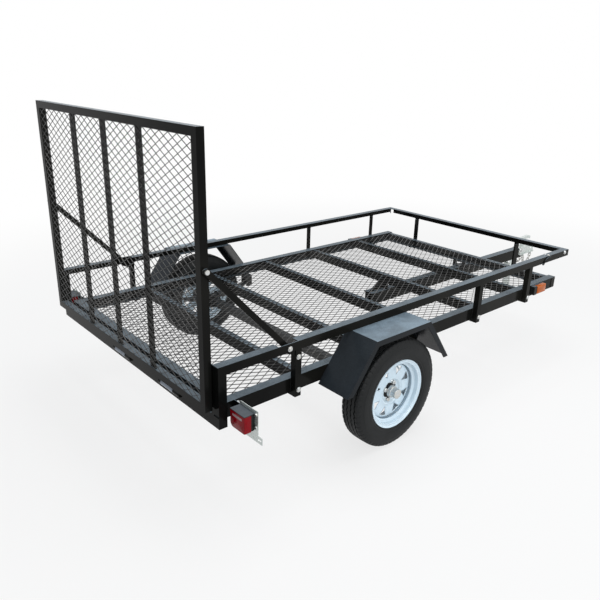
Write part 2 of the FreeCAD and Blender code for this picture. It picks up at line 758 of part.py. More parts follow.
def brace():
    """Right brace: a flat bar with round ends, from the gate's post down to the upper rail."""
    ends = ((brace_top_x, brace_pivot_height), (brace_foot_x, brace_foot_height))
    fall = ends[0][1] - ends[1][1]
    run = ends[1][0] - ends[0][0]
    bar = box(0, math.hypot(run, fall), brace_out, brace_in, -brace_width / 2, brace_width / 2)
    bar.rotate(V(0, 0, 0), V(0, 1, 0), math.degrees(math.atan2(fall, run)))
    bar.translate(V(ends[0][0], 0, ends[0][1]))
    bar = fuse(bar, *[across(brace_width / 2, x, z, brace_out, brace_in) for x, z in ends])
    for x, z in ends:
        bar = bar.cut(across(brace_bolt_r + seat_gap, x, z, brace_out, brace_in))
    return bar


both_sides("gate_brace", brace())

head_out = brace_out - pivot_gap - pivot_head
pivot = fuse(across(brace_bolt_r, brace_top_x, brace_pivot_height, -gate_y, head_out),
             across(brace_head_r, brace_top_x, brace_pivot_height, brace_out - pivot_gap, head_out),
             across(brace_head_r, brace_top_x, brace_pivot_height, -gate_y, brace_in + pivot_gap))
save("brace_pivots", pivot, mirror_y(pivot))

# ---------------------------------------------------------------- lamps
lamp_in = stake_y + lamp_gap
lamp_out = lamp_in + lamp_width
lamp_top = lamp_bottom + lamp_height
lamp_outline = [(-lamp_out, lamp_bottom), (-lamp_in - lamp_corner, lamp_bottom),
                (-lamp_in, lamp_bottom + lamp_corner), (-lamp_in, lamp_top),
                (-lamp_out, lamp_top)]
lamp = prism([(lamp_x, y, z) for y, z in lamp_outline], (lamp_depth, 0, 0))
save("tail_lamps", lamp, mirror_y(lamp))


def lamp_bracket():
    """Right bracket: a plate ahead of the lamp with a slotted tab below it, outside."""
    tab_top = lamp_bottom - plate_tab_drop
    tab_low = tab_top - plate_tab_height
    y_in = -lamp_out + plate_tab_inside
    y_edge = -lamp_out - lamp_plate_beside
    y_out = -lamp_out - plate_tab_outside
    plate = box(lamp_front, plate_front, y_edge, -lamp_in, lamp_bottom, lamp_top + lamp_plate_above)
    apron = box(lamp_front, plate_front, y_edge, y_in, tab_low, lamp_bottom)
    tab = box(lamp_front, plate_front, y_out, y_edge, tab_low, tab_top)
    z_mid = (tab_low + tab_top) / 2
    reach = (plate_slot_length - plate_slot_width) / 2
    y_mid = y_out + plate_tab_height / 2
    half = plate_slot_width / 2
    slot = box(lamp_front, plate_front, y_mid - reach, y_mid + reach, z_mid - half, z_mid + half)
    ends = [rod(half, (lamp_front, y, z_mid), (plate_front, y, z_mid))
            for y in (y_mid - reach, y_mid + reach)]
    return fuse(plate, apron, tab).cut(fuse(slot, *ends))


def lamp_arm():
    """Right arm: a strip from the plate in to the side rail, with a foot bent forward along the rail."""
    high = lamp_top - sheet
    low = high - lamp_arm_height
    strip = box(lamp_front, plate_front, -lamp_in, -side_y, low, high)
    foot = box(lamp_front, lamp_front + lamp_arm_foot, -side_y - sheet, -side_y, low, high)
    return fuse(strip, foot)


lamp_front = lamp_x + lamp_depth
plate_front = lamp_front + sheet
bracket = lamp_bracket()
save("lamp_brackets", bracket, mirror_y(bracket))
arm = lamp_arm()
save("lamp_arms", arm, mirror_y(arm))


def side_marker(x):
    """A side marker lamp on the right side rail's web."""
    top = deck_height - marker_drop
    return box(x - marker_length / 2, x + marker_length / 2, -side_y - marker_depth, -side_y,
               top - marker_height, top)


save("side_markers", side_marker(marker_right_x), mirror_y(side_marker(marker_left_x)))


# ---------------------------------------------------------------- safety chains
def link(centre, direction, normal):
    """One flat-sided link: an eight-sided ring as thick as its wire; normal is square to its plane."""
    d = V(direction).normalize()
    n = V(normal).normalize()
    s = d.cross(n)
    rings = []
    for inward, corner in zip((0.0, 2 * link_wire_r), link_corners):
        reach = link_length / 2 - inward
        half = link_width / 2 - inward
        cut = half * corner
        outline = [(reach, half - cut), (reach - cut, half), (cut - reach, half), (-reach, half - cut),
                   (-reach, cut - half), (cut - reach, -half), (reach - cut, -half), (reach, cut - half)]
        corners = [centre + d * along + s * aside - n * link_wire_r for along, aside in outline]
        rings.append(Part.makePolygon(corners + [corners[0]]))
    return Part.Face(rings).extrude(n * (2 * link_wire_r))


def hanging_chain(start, span, pitch, count):
    """Middles and directions of the links of a chain hung between two points of one height.

    The line is a catenary of the chain's length; each link runs between two points on it.
    """
    length = pitch * count
    low, high = 0.01, 60.0
    for step in range(60):
        turn = (low + high) / 2
        if math.sinh(turn) / turn < length / span:
            low = turn
        else:
            high = turn
    scale = span / (2 * turn)
    points = []
    for number in range(count + 1):
        x = scale * math.asinh((number * pitch - length / 2) / scale)
        points.append(start + V(span / 2 + x, 0, scale * (math.cosh(x / scale) - math.cosh(turn))))
    return [((a + b) / 2, b - a) for a, b in zip(points, points[1:])]


def chain_eye(x, y):
    """A staple under the coupler's lip: two legs and a bend with cut corners below."""
    outside = eye_ring_r + link_wire_r
    inside = eye_ring_r - link_wire_r
    low = coupler_low - eye_leg - eye_ring_r
    cut = outside / 2
    foot = low - link_wire_r
    outline = [(-outside, coupler_low), (-outside, foot + cut), (cut - outside, foot),
               (outside - cut, foot), (outside, foot + cut), (outside, coupler_low),
               (inside, coupler_low), (inside, low + link_wire_r),
               (-inside, low + link_wire_r), (-inside, coupler_low)]
    return prism([(x + dx, y - link_wire_r, z) for dx, z in outline], (0, 2 * link_wire_r, 0))


link_pitch = link_length - 4 * link_wire_r - link_slack
eye_y = coupler_half + link_wire_r
chain_start = tongue_front + chain_ahead
chain_z = coupler_low - eye_leg - eye_ring_r + link_wire_r + link_slack / 2
chains = []
eyes = []
for side in (-1, 1):
    start = V(chain_start, side * eye_y, chain_z)
    for number, (centre, direction) in enumerate(hanging_chain(start, chain_span, link_pitch, link_count)):
        upright = V(0, 1, 0)
        flat = direction.cross(upright)
        chains.append(link(centre, direction, flat if number % 2 == 0 else upright))
    for x in (start.x, start.x + chain_span):
        eyes.append(chain_eye(x, side * eye_y))
save("safety_chains", *chains)
save("chain_eyes", *eyes)
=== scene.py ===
"""A small single-axle utility trailer with a mesh deck, a rail on three sides and a mesh ramp gate.

The file follows the trailer as it is put together: frame, rails, mesh, gate, running gear, wheels,
fenders, lamps, tongue and coupler, and then the floor, the light and the camera.
Lengths are metres in the trailer's own frame: +X forward, +Y left, +Z up.
"""
import math

import bmesh
import bpy
import numpy as np
from mathutils import Matrix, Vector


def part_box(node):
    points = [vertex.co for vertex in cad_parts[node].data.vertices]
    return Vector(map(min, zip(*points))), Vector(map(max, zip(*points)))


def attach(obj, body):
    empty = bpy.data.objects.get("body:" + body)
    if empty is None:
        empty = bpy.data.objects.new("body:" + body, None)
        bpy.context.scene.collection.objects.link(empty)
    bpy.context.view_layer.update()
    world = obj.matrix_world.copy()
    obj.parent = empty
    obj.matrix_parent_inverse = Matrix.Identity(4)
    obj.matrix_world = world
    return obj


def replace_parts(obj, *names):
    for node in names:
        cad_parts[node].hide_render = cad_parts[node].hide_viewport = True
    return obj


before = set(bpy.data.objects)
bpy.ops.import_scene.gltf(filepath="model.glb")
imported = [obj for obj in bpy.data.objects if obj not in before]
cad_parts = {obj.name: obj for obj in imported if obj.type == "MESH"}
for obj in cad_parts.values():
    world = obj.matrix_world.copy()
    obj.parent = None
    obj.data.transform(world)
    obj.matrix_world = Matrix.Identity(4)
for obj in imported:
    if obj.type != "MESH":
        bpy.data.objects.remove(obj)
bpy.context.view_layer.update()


# ---- Deck frame, rails and posts ----------------------------------------------------------
# Rolled channels and angles, welded and then powder-coated gloss black. The coat has a fine orange peel, and the
# faces that look up are painted slate blue in specks and clouds: a painted reflection of the sky.
def node(tree, kind, settings=(), **sockets):
    """One node: settings are its own properties; in_0, in_1 or a socket's title take a value or a link."""
    made = tree.nodes.new(kind)
    for title, value in dict(settings).items():
        setattr(made, title, value)
    for title, value in sockets.items():
        key = int(title[3:]) if title.startswith("in_") else title.replace("_", " ")
        if isinstance(value, bpy.types.NodeSocket):
            tree.links.new(value, made.inputs[key])
        else:
            made.inputs[key].default_value = value
    return made


def times(tree, first, second):
    """The product of two values."""
    return node(tree, "ShaderNodeMath", {"operation": "MULTIPLY"}, in_0=first, in_1=second).outputs[0]


def plus(tree, first, second, clamp=False):
    """The sum of two values, held to 0..1 where clamp is set."""
    return node(tree, "ShaderNodeMath", {"operation": "ADD", "use_clamp": clamp}, in_0=first,
                in_1=second).outputs[0]


def noise(tree, place, scale, detail=2.0, roughness=0.5):
    """The value of a Noise node at a place."""
    return node(tree, "ShaderNodeTexNoise", Vector=place, Scale=scale, Detail=detail,
                Roughness=roughness).outputs["Fac"]


def spread(tree, value, low, high, to_low=0.0, to_high=1.0):
    """Maps low..high smoothly to to_low..to_high."""
    return node(tree, "ShaderNodeMapRange", {"interpolation_type": "SMOOTHSTEP"}, in_0=value, in_1=low,
                in_2=high, in_3=to_low, in_4=to_high).outputs[0]


def blend_colour(tree, share, first, second):
    """Mixes two colours by a share."""
    return node(tree, "ShaderNodeMix", {"data_type": "RGBA"}, in_0=share, in_6=first, in_7=second).outputs[2]


def upward(tree):
    """How far a face looks up: the Z of its normal."""
    normal = node(tree, "ShaderNodeNewGeometry").outputs["Normal"]
    return node(tree, "ShaderNodeSeparateXYZ", Vector=normal).outputs["Z"]


def new_group(name, colours, numbers):
    """A node group with the named inputs: the group, its input sockets and its Object coordinates."""
    group = bpy.data.node_groups.new(name, "ShaderNodeTree")
    for kind, sockets in (("NodeSocketColor", colours), ("NodeSocketFloat", numbers)):
        for title, value in sockets.items():
            socket = group.interface.new_socket(title, in_out="INPUT", socket_type=kind)
            socket.default_value = (*value, 1.0) if sockets is colours else value
    for title, kind in (("Colour", "Color"), ("Roughness", "Float"), ("Height", "Float")):
        group.interface.new_socket(title, in_out="OUTPUT", socket_type="NodeSocket" + kind)
    given = group.nodes.new("NodeGroupInput").outputs
    return group, given, node(group, "ShaderNodeTexCoord").outputs["Object"]


def put_out(group, colour, roughness, height):
    """Ends a node group: its output node takes a colour, a roughness and a height."""
    out = group.nodes.new("NodeGroupOutput")
    for title, value in (("Colour", colour), ("Roughness", roughness), ("Height", height)):
        group.links.new(value, out.inputs[title])
    return group


def paint_group():
    """Paint on steel: a slowly drifting colour, dust and a painted sky reflection on faces that look up, and the
    orange peel's height.
    """
    group, given, place = new_group(
        "paint with dust and sky sheen",
        {"Colour": (0.02, 0.02, 0.02), "Drift Colour": (0.05, 0.05, 0.045), "Dust and Sky Sheen Colour": (0.11, 0.13, 0.15)},
        {"Drift": 0.1, "Dust": 0.1, "Gloss Roughness": 0.2, "Peel Scale": 600.0})
    drift = noise(group, place, 1.6, 3.0, 0.55)
    specks = spread(group, noise(group, place, 160.0, 3.0, 0.7), 0.3, 0.75, 0.72, 1.0)
    cloud = spread(group, noise(group, place, 9.0, 5.0, 0.65), 0.3, 0.72, 0.6, 1.0)
    # Faces that look up take the second colour in specks and clouds: dust on the white enamel, a painted
    # reflection of the sky on the black coats.
    lying = times(group, spread(group, upward(group), 0.52, 0.97, 0.01, 1.0), specks)
    dust_and_sheen = times(group, times(group, lying, cloud), given["Dust"])
    drifted = times(group, spread(group, drift, 0.3, 0.7), given["Drift"])
    tone = blend_colour(group, drifted, given["Colour"], given["Drift Colour"])
    rough = plus(group, given["Gloss Roughness"], times(group, drift, 0.12))
    peel = plus(group, noise(group, place, given["Peel Scale"], 1.0),
                times(group, noise(group, place, 70.0, 2.0), 1.6))
    return put_out(group, blend_colour(group, dust_and_sheen, tone, given["Dust and Sky Sheen Colour"]),
                   plus(group, rough, times(group, dust_and_sheen, 0.2)), peel)


def finish(name, group, values, shader, bump):
    """A material: a Principled shader with fixed values, fed by a group's colour, roughness and height.

    bump is the Bump node's strength and its distance in metres.
    """
    material = bpy.data.materials.new(name)
    material.use_nodes = True
    tree = material.node_tree
    surface = tree.nodes["Principled BSDF"]
    for title, value in shader.items():
        surface.inputs[title].default_value = value
    pattern = tree.nodes.new("ShaderNodeGroup")
    pattern.node_tree = group
    for title, value in values.items():
        pattern.inputs[title].default_value = (*value, 1.0) if isinstance(value, tuple) else value
    tree.links.new(pattern.outputs["Colour"], surface.inputs["Base Color"])
    tree.links.new(pattern.outputs["Roughness"], surface.inputs["Roughness"])
    relief = node(tree, "ShaderNodeBump", Strength=bump[0], Distance=bump[1], Height=pattern.outputs["Height"])
    tree.links.new(relief.outputs["Normal"], surface.inputs["Normal"])
    return material


def dress(material, *names):
    """Gives CAD nodes a material."""
    for name in names:
        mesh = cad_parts[name].data
        mesh.materials.clear()
        mesh.materials.append(material)


paint = paint_group()
# Slate blue at nearly full share on faces that look up: a painted reflection of the sky.
frame_black = finish("frame black", paint,
                     {"Colour": (0.0020, 0.0021, 0.0020), "Drift": 0.35, "Drift Colour": (0.034, 0.032, 0.026),
                      "Dust and Sky Sheen Colour": (0.135, 0.17, 0.2), "Dust": 0.95, "Gloss Roughness": 0.10},
                     {"Specular IOR Level": 0.05}, (0.12, 0.0004))
dress(frame_black, "side_rail_right", "side_rail_left", "front_member", "crossmembers", "rear_beam",
      "rear_sill", "rear_uprights", "top_rail_right", "top_rail_left", "top_rail_flange_right",
      "top_rail_flange_left", "top_rail_front", "stake_posts_right", "stake_posts_left",
      "stake_posts_front", "brace_anchors", "tongue_beam", "tongue_brackets", "lamp_arms", "gate_frame",
      "gate_uprights", "gate_hinges", "gate_brace_right", "gate_brace_left")


# ---- Bolts of the rails and posts ---------------------------------------------------------
# Zinc-plated hex bolts with pressed washers hold the posts to the upper rail and the side rail.
# The plate is bright, with a faint yellow passivate in places.
def add_piece(name, mesh, body, material, smooth):
    """Makes a mesh an object on a body, shaded smooth up to an angle in degrees."""
    mesh.polygons.foreach_set("use_smooth", np.ones(len(mesh.polygons), bool))
    mesh.set_sharp_from_angle(angle=math.radians(smooth))
    mesh.materials.append(material)
    piece = bpy.data.objects.new(name, mesh)
    bpy.context.scene.collection.objects.link(piece)
    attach(piece, body)
    return piece


def mesh_piece(name, body, material, slot, *grids, smooth=35.0):
    """One object from arrays of points (copies, rows, columns, 3); neighbours are joined by quads.

    Points that coincide are merged, so a first and last row or column in one place close the surface.
    """
    points, quads, start = [], [], 0
    for grid in grids:
        copies, rows, columns = grid.shape[:3]
        index = np.arange(copies * rows * columns).reshape(copies, rows, columns) + start
        corner = [index[:, :-1, :-1], index[:, :-1, 1:], index[:, 1:, 1:], index[:, 1:, :-1]]
        quads.append(np.stack(corner, -1).reshape(-1, 4))
        points.append(grid.reshape(-1, 3))
        start += copies * rows * columns
    points, quads = np.concatenate(points), np.concatenate(quads)
    mesh = bpy.data.meshes.new(name)
    mesh.vertices.add(len(points))
    mesh.vertices.foreach_set("co", points.astype(np.float32).ravel())
    mesh.loops.add(quads.size)
    mesh.loops.foreach_set("vertex_index", quads.astype(np.int32).ravel())
    mesh.polygons.add(len(quads))
    mesh.polygons.foreach_set("loop_start", np.arange(0, quads.size, 4, dtype=np.int32))
    mesh.update(calc_edges=True)
    shell = bmesh.new()
    shell.from_mesh(mesh)
    bmesh.ops.remove_doubles(shell, verts=shell.verts, dist=2e-6)
    bmesh.ops.dissolve_degenerate(shell, edges=shell.edges, dist=1e-6)
    bmesh.ops.recalc_face_normals(shell, faces=shell.faces)
    shell.to_mesh(mesh)
    shell.free()
    return add_piece(name, mesh, body, material, smooth)


def turned(profile, places, axis, steps=24, across_flats=()):
    """Profiles turned about an axis through each place: profile rows are (radius, distance along the axis).

    A row named in across_flats follows a hexagon: its radius grows by cos 30 / cos(angle from a flat).
    """
    axis = np.asarray(axis, float)
    axis = axis / np.linalg.norm(axis)
    side = np.cross(axis, (0.0, 0.0, 1.0) if abs(axis[2]) < 0.9 else (1.0, 0.0, 0.0))
    side = side / np.linalg.norm(side)
    other = np.cross(axis, side)
    angle = np.linspace(0.0, 2 * np.pi, steps + 1)
    angle[-1] = 0.0
    profile = np.asarray(profile, float)
    radius = np.repeat(profile[:, :1], steps + 1, 1)
    hexagon = 1 / np.cos((angle + np.pi / 6) % (np.pi / 3) - np.pi / 6)
    for row in across_flats:
        radius[row] *= hexagon
    ring = (radius[..., None] * (np.cos(angle)[:, None] * side + np.sin(angle)[:, None] * other)
            + profile[:, 1, None, None] * axis)
    return np.asarray(places, float)[:, None, None, :] + ring


def hex_bolts(places, axis, flats=0.0082, height=0.0060, washer=0.0118):
    """Hex heads on washers: from the seat out, a washer's edge, six sides, a chamfer and a flat top."""
    profile = [(washer, 0.0), (washer, 0.0014), (flats * 1.02, 0.0016), (flats, 0.0016), (flats, height * 0.8),
               (flats * 0.93, height), (0.0, height)]
    return turned(profile, places, axis, across_flats=(3, 4))


def zinc_group():
    """Zinc plate: light grey with a faint warm passivate in clouds, brushed grain, and dull spots."""
    group, given, place = new_group(
        "zinc plate", {"Colour": (0.6, 0.62, 0.63), "Passivate": (0.6, 0.52, 0.36)}, {"Amount": 0.3})
    cloud = spread(group, noise(group, place, 60.0, 3.0, 0.6), 0.35, 0.75)
    spots = spread(group, noise(group, place, 420.0, 2.0, 0.6), 0.55, 0.8)
    tint = blend_colour(group, times(group, cloud, given["Amount"]), given["Colour"], given["Passivate"])
    dulled = blend_colour(group, times(group, spots, 0.35), tint, (0.2, 0.2, 0.2, 1))
    rough = plus(group, plus(group, times(group, spots, 0.25), times(group, cloud, 0.14)), 0.24)
    return put_out(group, dulled, rough, noise(group, place, 800.0, 2.0))


zinc = zinc_group()
bolt_zinc = finish("bright zinc", zinc, {"Amount": 0.35}, {"Metallic": 0.85, "Specular IOR Level": 0.5},
                   (0.15, 0.0003))
right_posts, left_posts = (-1.3455, -0.0525, 0.4475), (-1.3455, 0.0045, 0.6445)
front_post_ys = (-0.382, 0.455)
post_face, rail_face, front_face = 0.728, 0.732, 0.8615   # outer faces that the heads sit on
sill_line, upper_line = 0.404, 0.556                      # the lower and upper bolts of a post


def side_bolts(side, posts, corner_line):
    """Places of one side's bolts: the posts' feet, the brace plate, the rear post and the front corner."""
    feet = [(x + 0.004, side * post_face, sill_line) for x in posts]
    return feet + [(-1.3955, side * rail_face, 0.607), (posts[0], side * post_face, upper_line),
                   (0.8155, side * rail_face, corner_line)]


hook_bolts = [(0.632, y, 0.630) for y in (-0.7025, -0.7235)]
mesh_piece("rail_bolts", "root", bolt_zinc, "zinc_steel",
           hex_bolts(side_bolts(-1, right_posts, 0.6185), (0, -1, 0)),
           hex_bolts(side_bolts(1, left_posts, 0.611), (0, 1, 0)),
           hex_bolts([(front_face, y, z) for y in front_post_ys for z in (0.405, upper_line)], (1, 0, 0)),
           hex_bolts(hook_bolts, (0, 0, 1), 0.0065, 0.0050, 0.0085))


# ---- Rail hook ---------------------------------------------------------------------------------
# A bent black wire hook hangs on the outer side of the right rail, clamped by the two small bolts
# on the rail's flange. It is drawn as a round rod along a quarter bend, a fall and a half bend.
def tube(path, radius, sides=10):
    """Round tubes along paths (copies, points, 3): rings square to the run there, closed at both ends."""
    path = np.asarray(path, float)
    run = np.gradient(path, axis=1)
    run = run / np.linalg.norm(run, axis=2, keepdims=True)
    side = np.cross(run, (0.31, 0.17, 0.93))
    side = side / np.linalg.norm(side, axis=2, keepdims=True)
    other = np.cross(run, side)
    angle = np.linspace(0.0, 2 * np.pi, sides + 1)
    angle[-1] = 0.0
    ring = np.cos(angle)[:, None] * side[..., None, :] + np.sin(angle)[:, None] * other[..., None, :]
    skin = path[..., None, :] + radius * ring
    first = np.repeat(path[:, :1, None], sides + 1, 2)
    last = np.repeat(path[:, -1:, None], sides + 1, 2)
    return np.concatenate([first, skin, last], 1)


hook_y, eye_x, eye_z, eye_radius = -0.7362, 0.5640, 0.596, 0.009
bend = np.linspace(np.pi, 0.0, 13)
eye = np.stack([eye_x - eye_radius * np.cos(bend), np.full(13, hook_y), eye_z - eye_radius * np.sin(bend)], 1)
fall = [(0.6400, hook_y, 0.6245), (0.6150, hook_y, 0.6235), (0.5900, hook_y, 0.6150)]
mesh_piece("rail_hook", "root", frame_black, "powder_black", tube([np.concatenate([fall, eye])], 0.0035),
           smooth=60.0)


# ---- Weld beads -----------------------------------------------------------------------------
# Fillet welds run down the joints of the frame: small overlapping ripples under the black coat.
# Each is a thin rod laid in the corner between two members.
def weld_beads(ends, radius=0.0032, ripple=0.0045):
    """Beads between pairs of points: round rods whose radius rises and falls once per ripple, closed ends."""
    starts, ends = np.asarray(ends, float).transpose(1, 0, 2)
    steps = max(8, int(np.linalg.norm(ends - starts, axis=1).max() / ripple) * 4)
    along = np.linspace(0.0, 1.0, steps + 1)
    swell = radius * (0.82 + 0.18 * np.abs(np.sin(along * steps / 4 * np.pi)))
    swell[[0, -1]] = 0.0
    run = (ends - starts) / np.linalg.norm(ends - starts, axis=1)[:, None]
    side = np.cross(run, (0.577, 0.577, 0.577))
    side = side / np.linalg.norm(side, axis=1)[:, None]
    other = np.cross(run, side)
    angle = np.linspace(0.0, 2 * np.pi, 9)
    angle[-1] = 0.0
    middle = starts[:, None, None] + (ends - starts)[:, None, None] * along[None, :, None, None]
    ring = np.cos(angle)[None, :, None] * side[:, None] + np.sin(angle)[None, :, None] * other[:, None]
    return middle + swell[None, :, None, None] * ring[:, None]


rail_inside, rail_outside = 0.694, 0.698       # faces of the side rails' webs
foot_low, foot_high, post_head = 0.388, 0.450, 0.5925
member_xs = -1.3005 + 0.43175 * np.arange(5)
bead_ends = []
for side, posts in ((-1, right_posts), (1, left_posts)):
    web, under, outer = side * rail_inside, side * rail_outside, side * 0.7245
    bead_ends += [((x, web, 0.392), (x, web, 0.443)) for x in (*member_xs, 0.8185)]
    for x in posts:
        bead_ends += [((x - 0.016, under, foot_low), (x - 0.016, under, foot_high)),
                      ((x + 0.016, outer, post_head), (x - 0.016, outer, post_head))]
    bead_ends += [((-1.7025, side * 0.7, foot_low), (-1.7025, side * 0.7, foot_high)),
                  ((-1.7405, side * 0.7, 0.420), (-1.7405, side * 0.73, 0.420)),
                  ((0.7755, side * 0.6985, foot_low), (0.7755, side * 0.6985, foot_high)),
                  ((0.776, side * 0.038, 0.352), (0.819, side * 0.038, 0.352)),
                  ((-0.14, side * 0.0255, 0.3525), (-0.005, side * 0.0255, 0.3525)),
                  ((0.8275, web, 0.594), (0.8275, web, 0.626))]
mesh_piece("frame_welds", "root", frame_black, "powder_black", weld_beads(bead_ends), smooth=60.0)


# ---- Expanded-metal deck ----------------------------------------------------------------------
# One sheet of slit and stretched steel, its long diamonds lying along the trailer, welded to the frame. The
# strands are square-edged and black, with light grey patches on top of them as a painted highlight of the sky.
def expanded_metal(length, width, long_pitch, short_pitch, strand, thickness, bond):
    """Strands of an expanded sheet in its own plane: (rows, points along, 5 corners, 3) with u, v and height.

    Row j is a zigzag about v = (j + 1/2) short_pitch / 2 that swings by a quarter pitch less half a strand
    at every half long_pitch, with a flat bond there. The strand's section is a rectangle.
    """
    columns = round(2 * length / long_pitch)
    rows = round(2 * width / short_pitch)
    half_long, half_short = length / columns, width / rows
    at = np.arange(columns + 1) * half_long
    u = np.stack([at - bond / 2, at + bond / 2], 1).ravel()[1:-1]
    column = np.repeat(np.arange(columns + 1), 2)[1:-1]
    row = np.arange(rows)[:, None]
    swing = np.where((row + column) % 2 == 0, -1.0, 1.0) * (half_short - strand) / 2
    v = (row + 0.5) * half_short + swing
    corners = np.array([(-1, -1), (1, -1), (1, 1), (-1, 1), (-1, -1)]) / 2 * (strand, thickness)
    sheet = np.empty((rows, len(u), 5, 3))
    sheet[..., 0] = u[None, :, None]
    sheet[..., 1] = v[..., None] + corners[:, 0]
    sheet[..., 2] = corners[:, 1]
    return sheet


def strand_highlight_group():
    """Painted highlights on the strands: light grey patches, strongest on faces that look up, dust between."""
    group, given, place = new_group(
        "strands with painted highlights", {"Colour": (0.02, 0.02, 0.02), "Highlight Colour": (0.35, 0.33, 0.31)}, {"Highlight Amount": 0.3})
    patches = times(group, noise(group, place, 3.0, 4.0, 0.6), noise(group, place, 45.0, 4.0, 0.7))
    # Light grey patches painted mostly on the strand tops: a painted highlight of the sky.
    highlight = times(group, spread(group, patches, 0.2, 0.42), spread(group, upward(group), 0.0, 0.9, 0.3, 1.0))
    shown = blend_colour(group, times(group, highlight, given["Highlight Amount"]), given["Colour"], given["Highlight Colour"])
    return put_out(group, shown, plus(group, times(group, patches, 0.5), 0.14),
                   noise(group, place, 500.0, 2.0))


mesh_black = finish("deck mesh black", strand_highlight_group(), {"Colour": (0.007, 0.0075, 0.008), "Highlight Amount": 0.4},
                    {"Specular IOR Level": 0.2}, (0.2, 0.0004))
low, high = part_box("deck_mesh")
deck = expanded_metal(high.x - low.x, high.y - low.y, long_pitch=0.062, short_pitch=0.036, strand=0.0030,
                      thickness=0.0022, bond=0.0050)
deck = np.stack([low.x + deck[..., 0], low.y + deck[..., 1], high.z - 0.0013 + deck[..., 2]], -1)
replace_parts(mesh_piece("deck_expanded_metal", "root", mesh_black, "mesh_black", deck, smooth=25.0), "deck_mesh")

# ---- Ramp gate --------------------------------------------------------------------------------
# A frame of square tube with three flat uprights; the same expanded metal is welded in from
# behind. It hangs on two pin hinges with grey barrels and is held up by two flat braces.
low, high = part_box("gate_mesh")
gate = expanded_metal(high.y - low.y, high.z - low.z, long_pitch=0.060, short_pitch=0.033, strand=0.0024,
                      thickness=0.0022, bond=0.0035)
gate = np.stack([low.x + 0.0015 + gate[..., 2], low.y + gate[..., 0], low.z + gate[..., 1]], -1)
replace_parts(mesh_piece("gate_expanded_metal", "gate", mesh_black, "mesh_black", gate, smooth=25.0), "gate_mesh")

low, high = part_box("gate_frame")
gate_bar, upright_x, upright_half = 0.032, -1.7715, 0.022
bead_ends = []
for y in (low.y + gate_bar, high.y - gate_bar):
    for x in (low.x + 0.0026, high.x):
        bead_ends += [((x, y, low.z), (x, y, low.z + gate_bar)), ((x, y, high.z - gate_bar), (x, y, high.z))]
for y in (-0.3, 0.0, 0.3):
    for z in (low.z + gate_bar, high.z - gate_bar):
        bead_ends += [((upright_x, y - upright_half, z), (upright_x, y + upright_half, z))]
mesh_piece("gate_welds", "gate", frame_black, "powder_black", weld_beads(bead_ends, 0.0026), smooth=60.0)

hinge_x, hinge_z, barrel_ends = -1.7535, 0.412, (0.089, -0.333)
pin_head = [(0.0, 0.0), (0.0105, 0.0), (0.0112, 0.0008), (0.0112, 0.0052), (0.0098, 0.0064), (0.0, 0.0070)]
mesh_piece("hinge_pin_heads", "gate", frame_black, "powder_black",
           turned(pin_head, [(hinge_x, y + 0.016, hinge_z) for y in barrel_ends], (0, 1, 0)),
           turned(pin_head, [(hinge_x, y - 0.140, hinge_z) for y in barrel_ends], (0, -1, 0)))
dress(bolt_zinc, "brace_pivots")
# Bare steel barrels, coloured a light slate blue grey: painted sky light on barrels that sit in the gate bar's
# shadow.
barrel_grey = finish("hinge barrel steel with painted sky light", zinc,
                     {"Colour": (0.20, 0.235, 0.29), "Passivate": (0.10, 0.11, 0.13), "Amount": 0.6},
                     {"Metallic": 0.35, "Specular IOR Level": 0.5}, (0.2, 0.0003))
dress(barrel_grey, "hinge_barrels")

# ---- Axle and springs ---------------------------------------------------------------------------
# A square-tube axle hangs under two three-leaf springs. U-bolts clamp each spring down to it
# through a plate, and the whole is sprayed satin black.
# The group's slate blue at a quarter share on faces that look up: a weaker painted reflection of the sky.
chassis_black = finish("chassis black", paint, {"Colour": (0.012, 0.012, 0.012), "Dust": 0.25,
                                                "Gloss Roughness": 0.42, "Peel Scale": 300.0},
                       {"Specular IOR Level": 0.4}, (0.3, 0.0006))
dress(chassis_black, "axle", "leaf_springs", "spring_hangers", "hub_right", "hub_left")

low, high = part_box("axle")
axle_x, axle_z = (low.x + high.x) / 2, (low.z + high.z) / 2
spring_y, leg_apart, legs_beside = 0.658, 0.0275, 0.030     # a U-bolt's legs across and along the axle
arch_z, leg_end, plate_under, plate_over = 0.303, 0.226, 0.238, 0.244
u_bolts, u_nuts = [], []
for side in (-1, 1):
    for x in (axle_x - legs_beside, axle_x + legs_beside):
        bend = np.linspace(np.pi, 0.0, 15)
        arch = np.stack([np.full(15, x), side * spring_y + leg_apart * np.cos(bend),
                         arch_z + 0.012 * np.sin(bend)], 1)
        legs = [(x, side * spring_y - leg_apart), (x, side * spring_y + leg_apart)]
        u_bolts.append(np.concatenate([[(*legs[0], leg_end)], arch, [(*legs[1], leg_end)]]))
        u_nuts += [(*leg, plate_under) for leg in legs]


def boxes(lows, highs):
    """Closed blocks from low and high corners: four rings of four corners, the end rings at their middles."""
    lows, highs = np.asarray(lows, float), np.asarray(highs, float)
    around = np.array([(0, 0), (1, 0), (1, 1), (0, 1), (0, 0)])
    xy = lows[:, None, :2] + (highs - lows)[:, None, :2] * around
    middle = np.repeat(((lows + highs) / 2)[:, None, :2], 5, 1)
    layers = [(middle, lows), (xy, lows), (xy, highs), (middle, highs)]
    return np.stack([np.concatenate([flat, np.repeat(level[:, None, 2:], 5, 1)], 2)
                     for flat, level in layers], 1)


plate_lows = [(axle_x - 0.045, side * spring_y - 0.038, plate_under) for side in (-1, 1)]
plate_highs = [(axle_x + 0.045, side * spring_y + 0.038, plate_over) for side in (-1, 1)]
mesh_piece("spring_clamps", "root", chassis_black, "chassis_black", tube(u_bolts, 0.005),
           boxes(plate_lows, plate_highs))
mesh_piece("spring_clamp_nuts", "root", bolt_zinc, "zinc_steel",
           hex_bolts(u_nuts, (0, 0, -1), 0.008, 0.008, 0.010))

